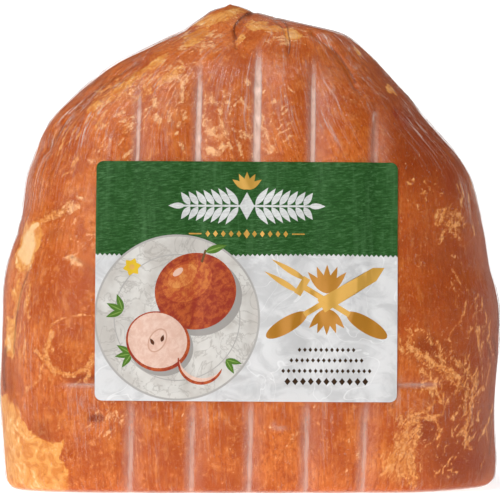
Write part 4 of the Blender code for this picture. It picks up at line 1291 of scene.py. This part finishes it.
def make_label(film):
    """The printed sheet, stuck on the film and following it."""
    flat, faces, inks = label_sheet([("green", header_field()), *garland(), *fruit_plate(), *cutlery()])
    low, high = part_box("label")
    centre = (np.array(low) + np.array(high)) / 2 / MM
    places = turned(flat, centre[0], centre[2], LABEL_TILT)
    x, z = places.T
    behind = np.stack([x, label_back(film, places), z], axis=1)
    ahead = behind - np.array([0.0, LABEL_THICKNESS, 0.0])
    count = len(flat)
    looks = label_looks()
    names = list(looks)
    rim = rim_faces(faces, count)
    solid = [*faces, *(tuple(i + count for i in reversed(face)) for face in faces), *rim]
    slots = [names.index(ink) for ink in inks] + [names.index("paper")] * (len(faces) + len(rim))
    label = add_object("printed_label", np.vstack([ahead, behind]), solid, looks.values())
    label.data.polygons.foreach_set("material_index", slots)
    label.data.set_sharp_from_angle(angle=np.radians(50))
    return label


def make_stage():
    """A pale floor that rises softly all round and glows, brighter away from the ham and towards the back."""
    rings = [(radius, 0.0) for radius in (0.25, 0.6, 1.2, 2.2, STAGE_RADIUS)]
    for turn in np.linspace(0.15, 1.35, 9):
        rings.append((STAGE_RADIUS + STAGE_RISE * np.sin(turn), STAGE_RISE * (1 - np.cos(turn))))
    count = 96
    around = np.linspace(0.0, 2 * np.pi, count, endpoint=False)
    points = [(0.0, 0.0, 0.0)]
    for radius, height in rings:
        points.extend((radius * np.cos(a), radius * np.sin(a), height) for a in around)
    faces = [(0, 1 + k, 1 + (k + 1) % count) for k in range(count)]
    for low in range(1, 1 + (len(rings) - 1) * count, count):
        high = low + count
        for k in range(count):
            after = (k + 1) % count
            faces.append((low + k, high + k, high + after, low + after))
    n = Nodes("studio_floor")
    split = n.add("ShaderNodeSeparateXYZ")
    n.link(n.place, split.inputs[0])
    length = n.add("ShaderNodeVectorMath", operation="LENGTH")
    n.link(n.place, length.inputs[0])
    away = n.step(length.outputs["Value"], 0.12, 0.9, 0.1)
    rear = n.step(split.outputs["Y"], -0.3, -0.08, 0.66)
    glow = n.math("ADD", away, n.math("ADD", rear, 0.1))
    shader = n.principled(
        Base_Color=FLOOR_GREY, Roughness=0.9, Specular_IOR_Level=0.1, Emission_Strength=glow
    )
    shader.node.inputs["Emission Color"].default_value = (1, 1, 1, 1)
    floor = add_object("studio_floor", np.array(points) / MM, faces, [n.finish(shader)])


def aim(item, target):
    """Turns a lamp or camera to look at the target."""
    item.rotation_euler = (Vector(target) - item.location).to_track_quat("-Z", "Y").to_euler()


def make_lamp(name, place, size, watts):
    """A square-cornered area lamp that looks at the ham's middle."""
    lamp = bpy.data.lights.new(name, "AREA")
    lamp.shape, lamp.size, lamp.size_y = "RECTANGLE", size[0], size[1]
    lamp.energy = watts
    item = bpy.data.objects.new(name, lamp)
    bpy.context.scene.collection.objects.link(item)
    item.location = place
    aim(item, LIT_MIDDLE)


def make_light():
    world = bpy.data.worlds.new("studio")
    world.use_nodes = True
    background = world.node_tree.nodes["Background"]
    background.inputs["Color"].default_value = (1, 1, 1, 1)
    background.inputs["Strength"].default_value = WORLD_STRENGTH
    bpy.context.scene.world = world
    for lamp in LAMPS:
        make_lamp(*lamp)


def make_camera():
    data = bpy.data.cameras.new("camera")
    camera = bpy.data.objects.new("camera", data)
    bpy.context.scene.collection.objects.link(camera)
    data.sensor_width = SENSOR
    data.lens = SENSOR * CAMERA_DISTANCE / FRAME_WIDTH
    camera.location = (CAMERA_ACROSS, -CAMERA_DISTANCE, CAMERA_HEIGHT)
    aim(camera, (CAMERA_ACROSS, 0.0, CAMERA_HEIGHT))
    bpy.context.scene.camera = camera


def main():
    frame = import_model()
    print("nodes of the frame:", ", ".join(frame["nodes"]))
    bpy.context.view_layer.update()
    bpy.context.scene.view_settings.view_transform = "Standard"
    ham, film = make_ham_and_film()
    label = make_label(film)
    for piece in (ham, film, label):
        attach(piece, "root")
    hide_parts("ham_in_film")
    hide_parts("ham_in_film")
    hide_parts("label")
    make_stage()
    make_light()
    make_camera()


main()
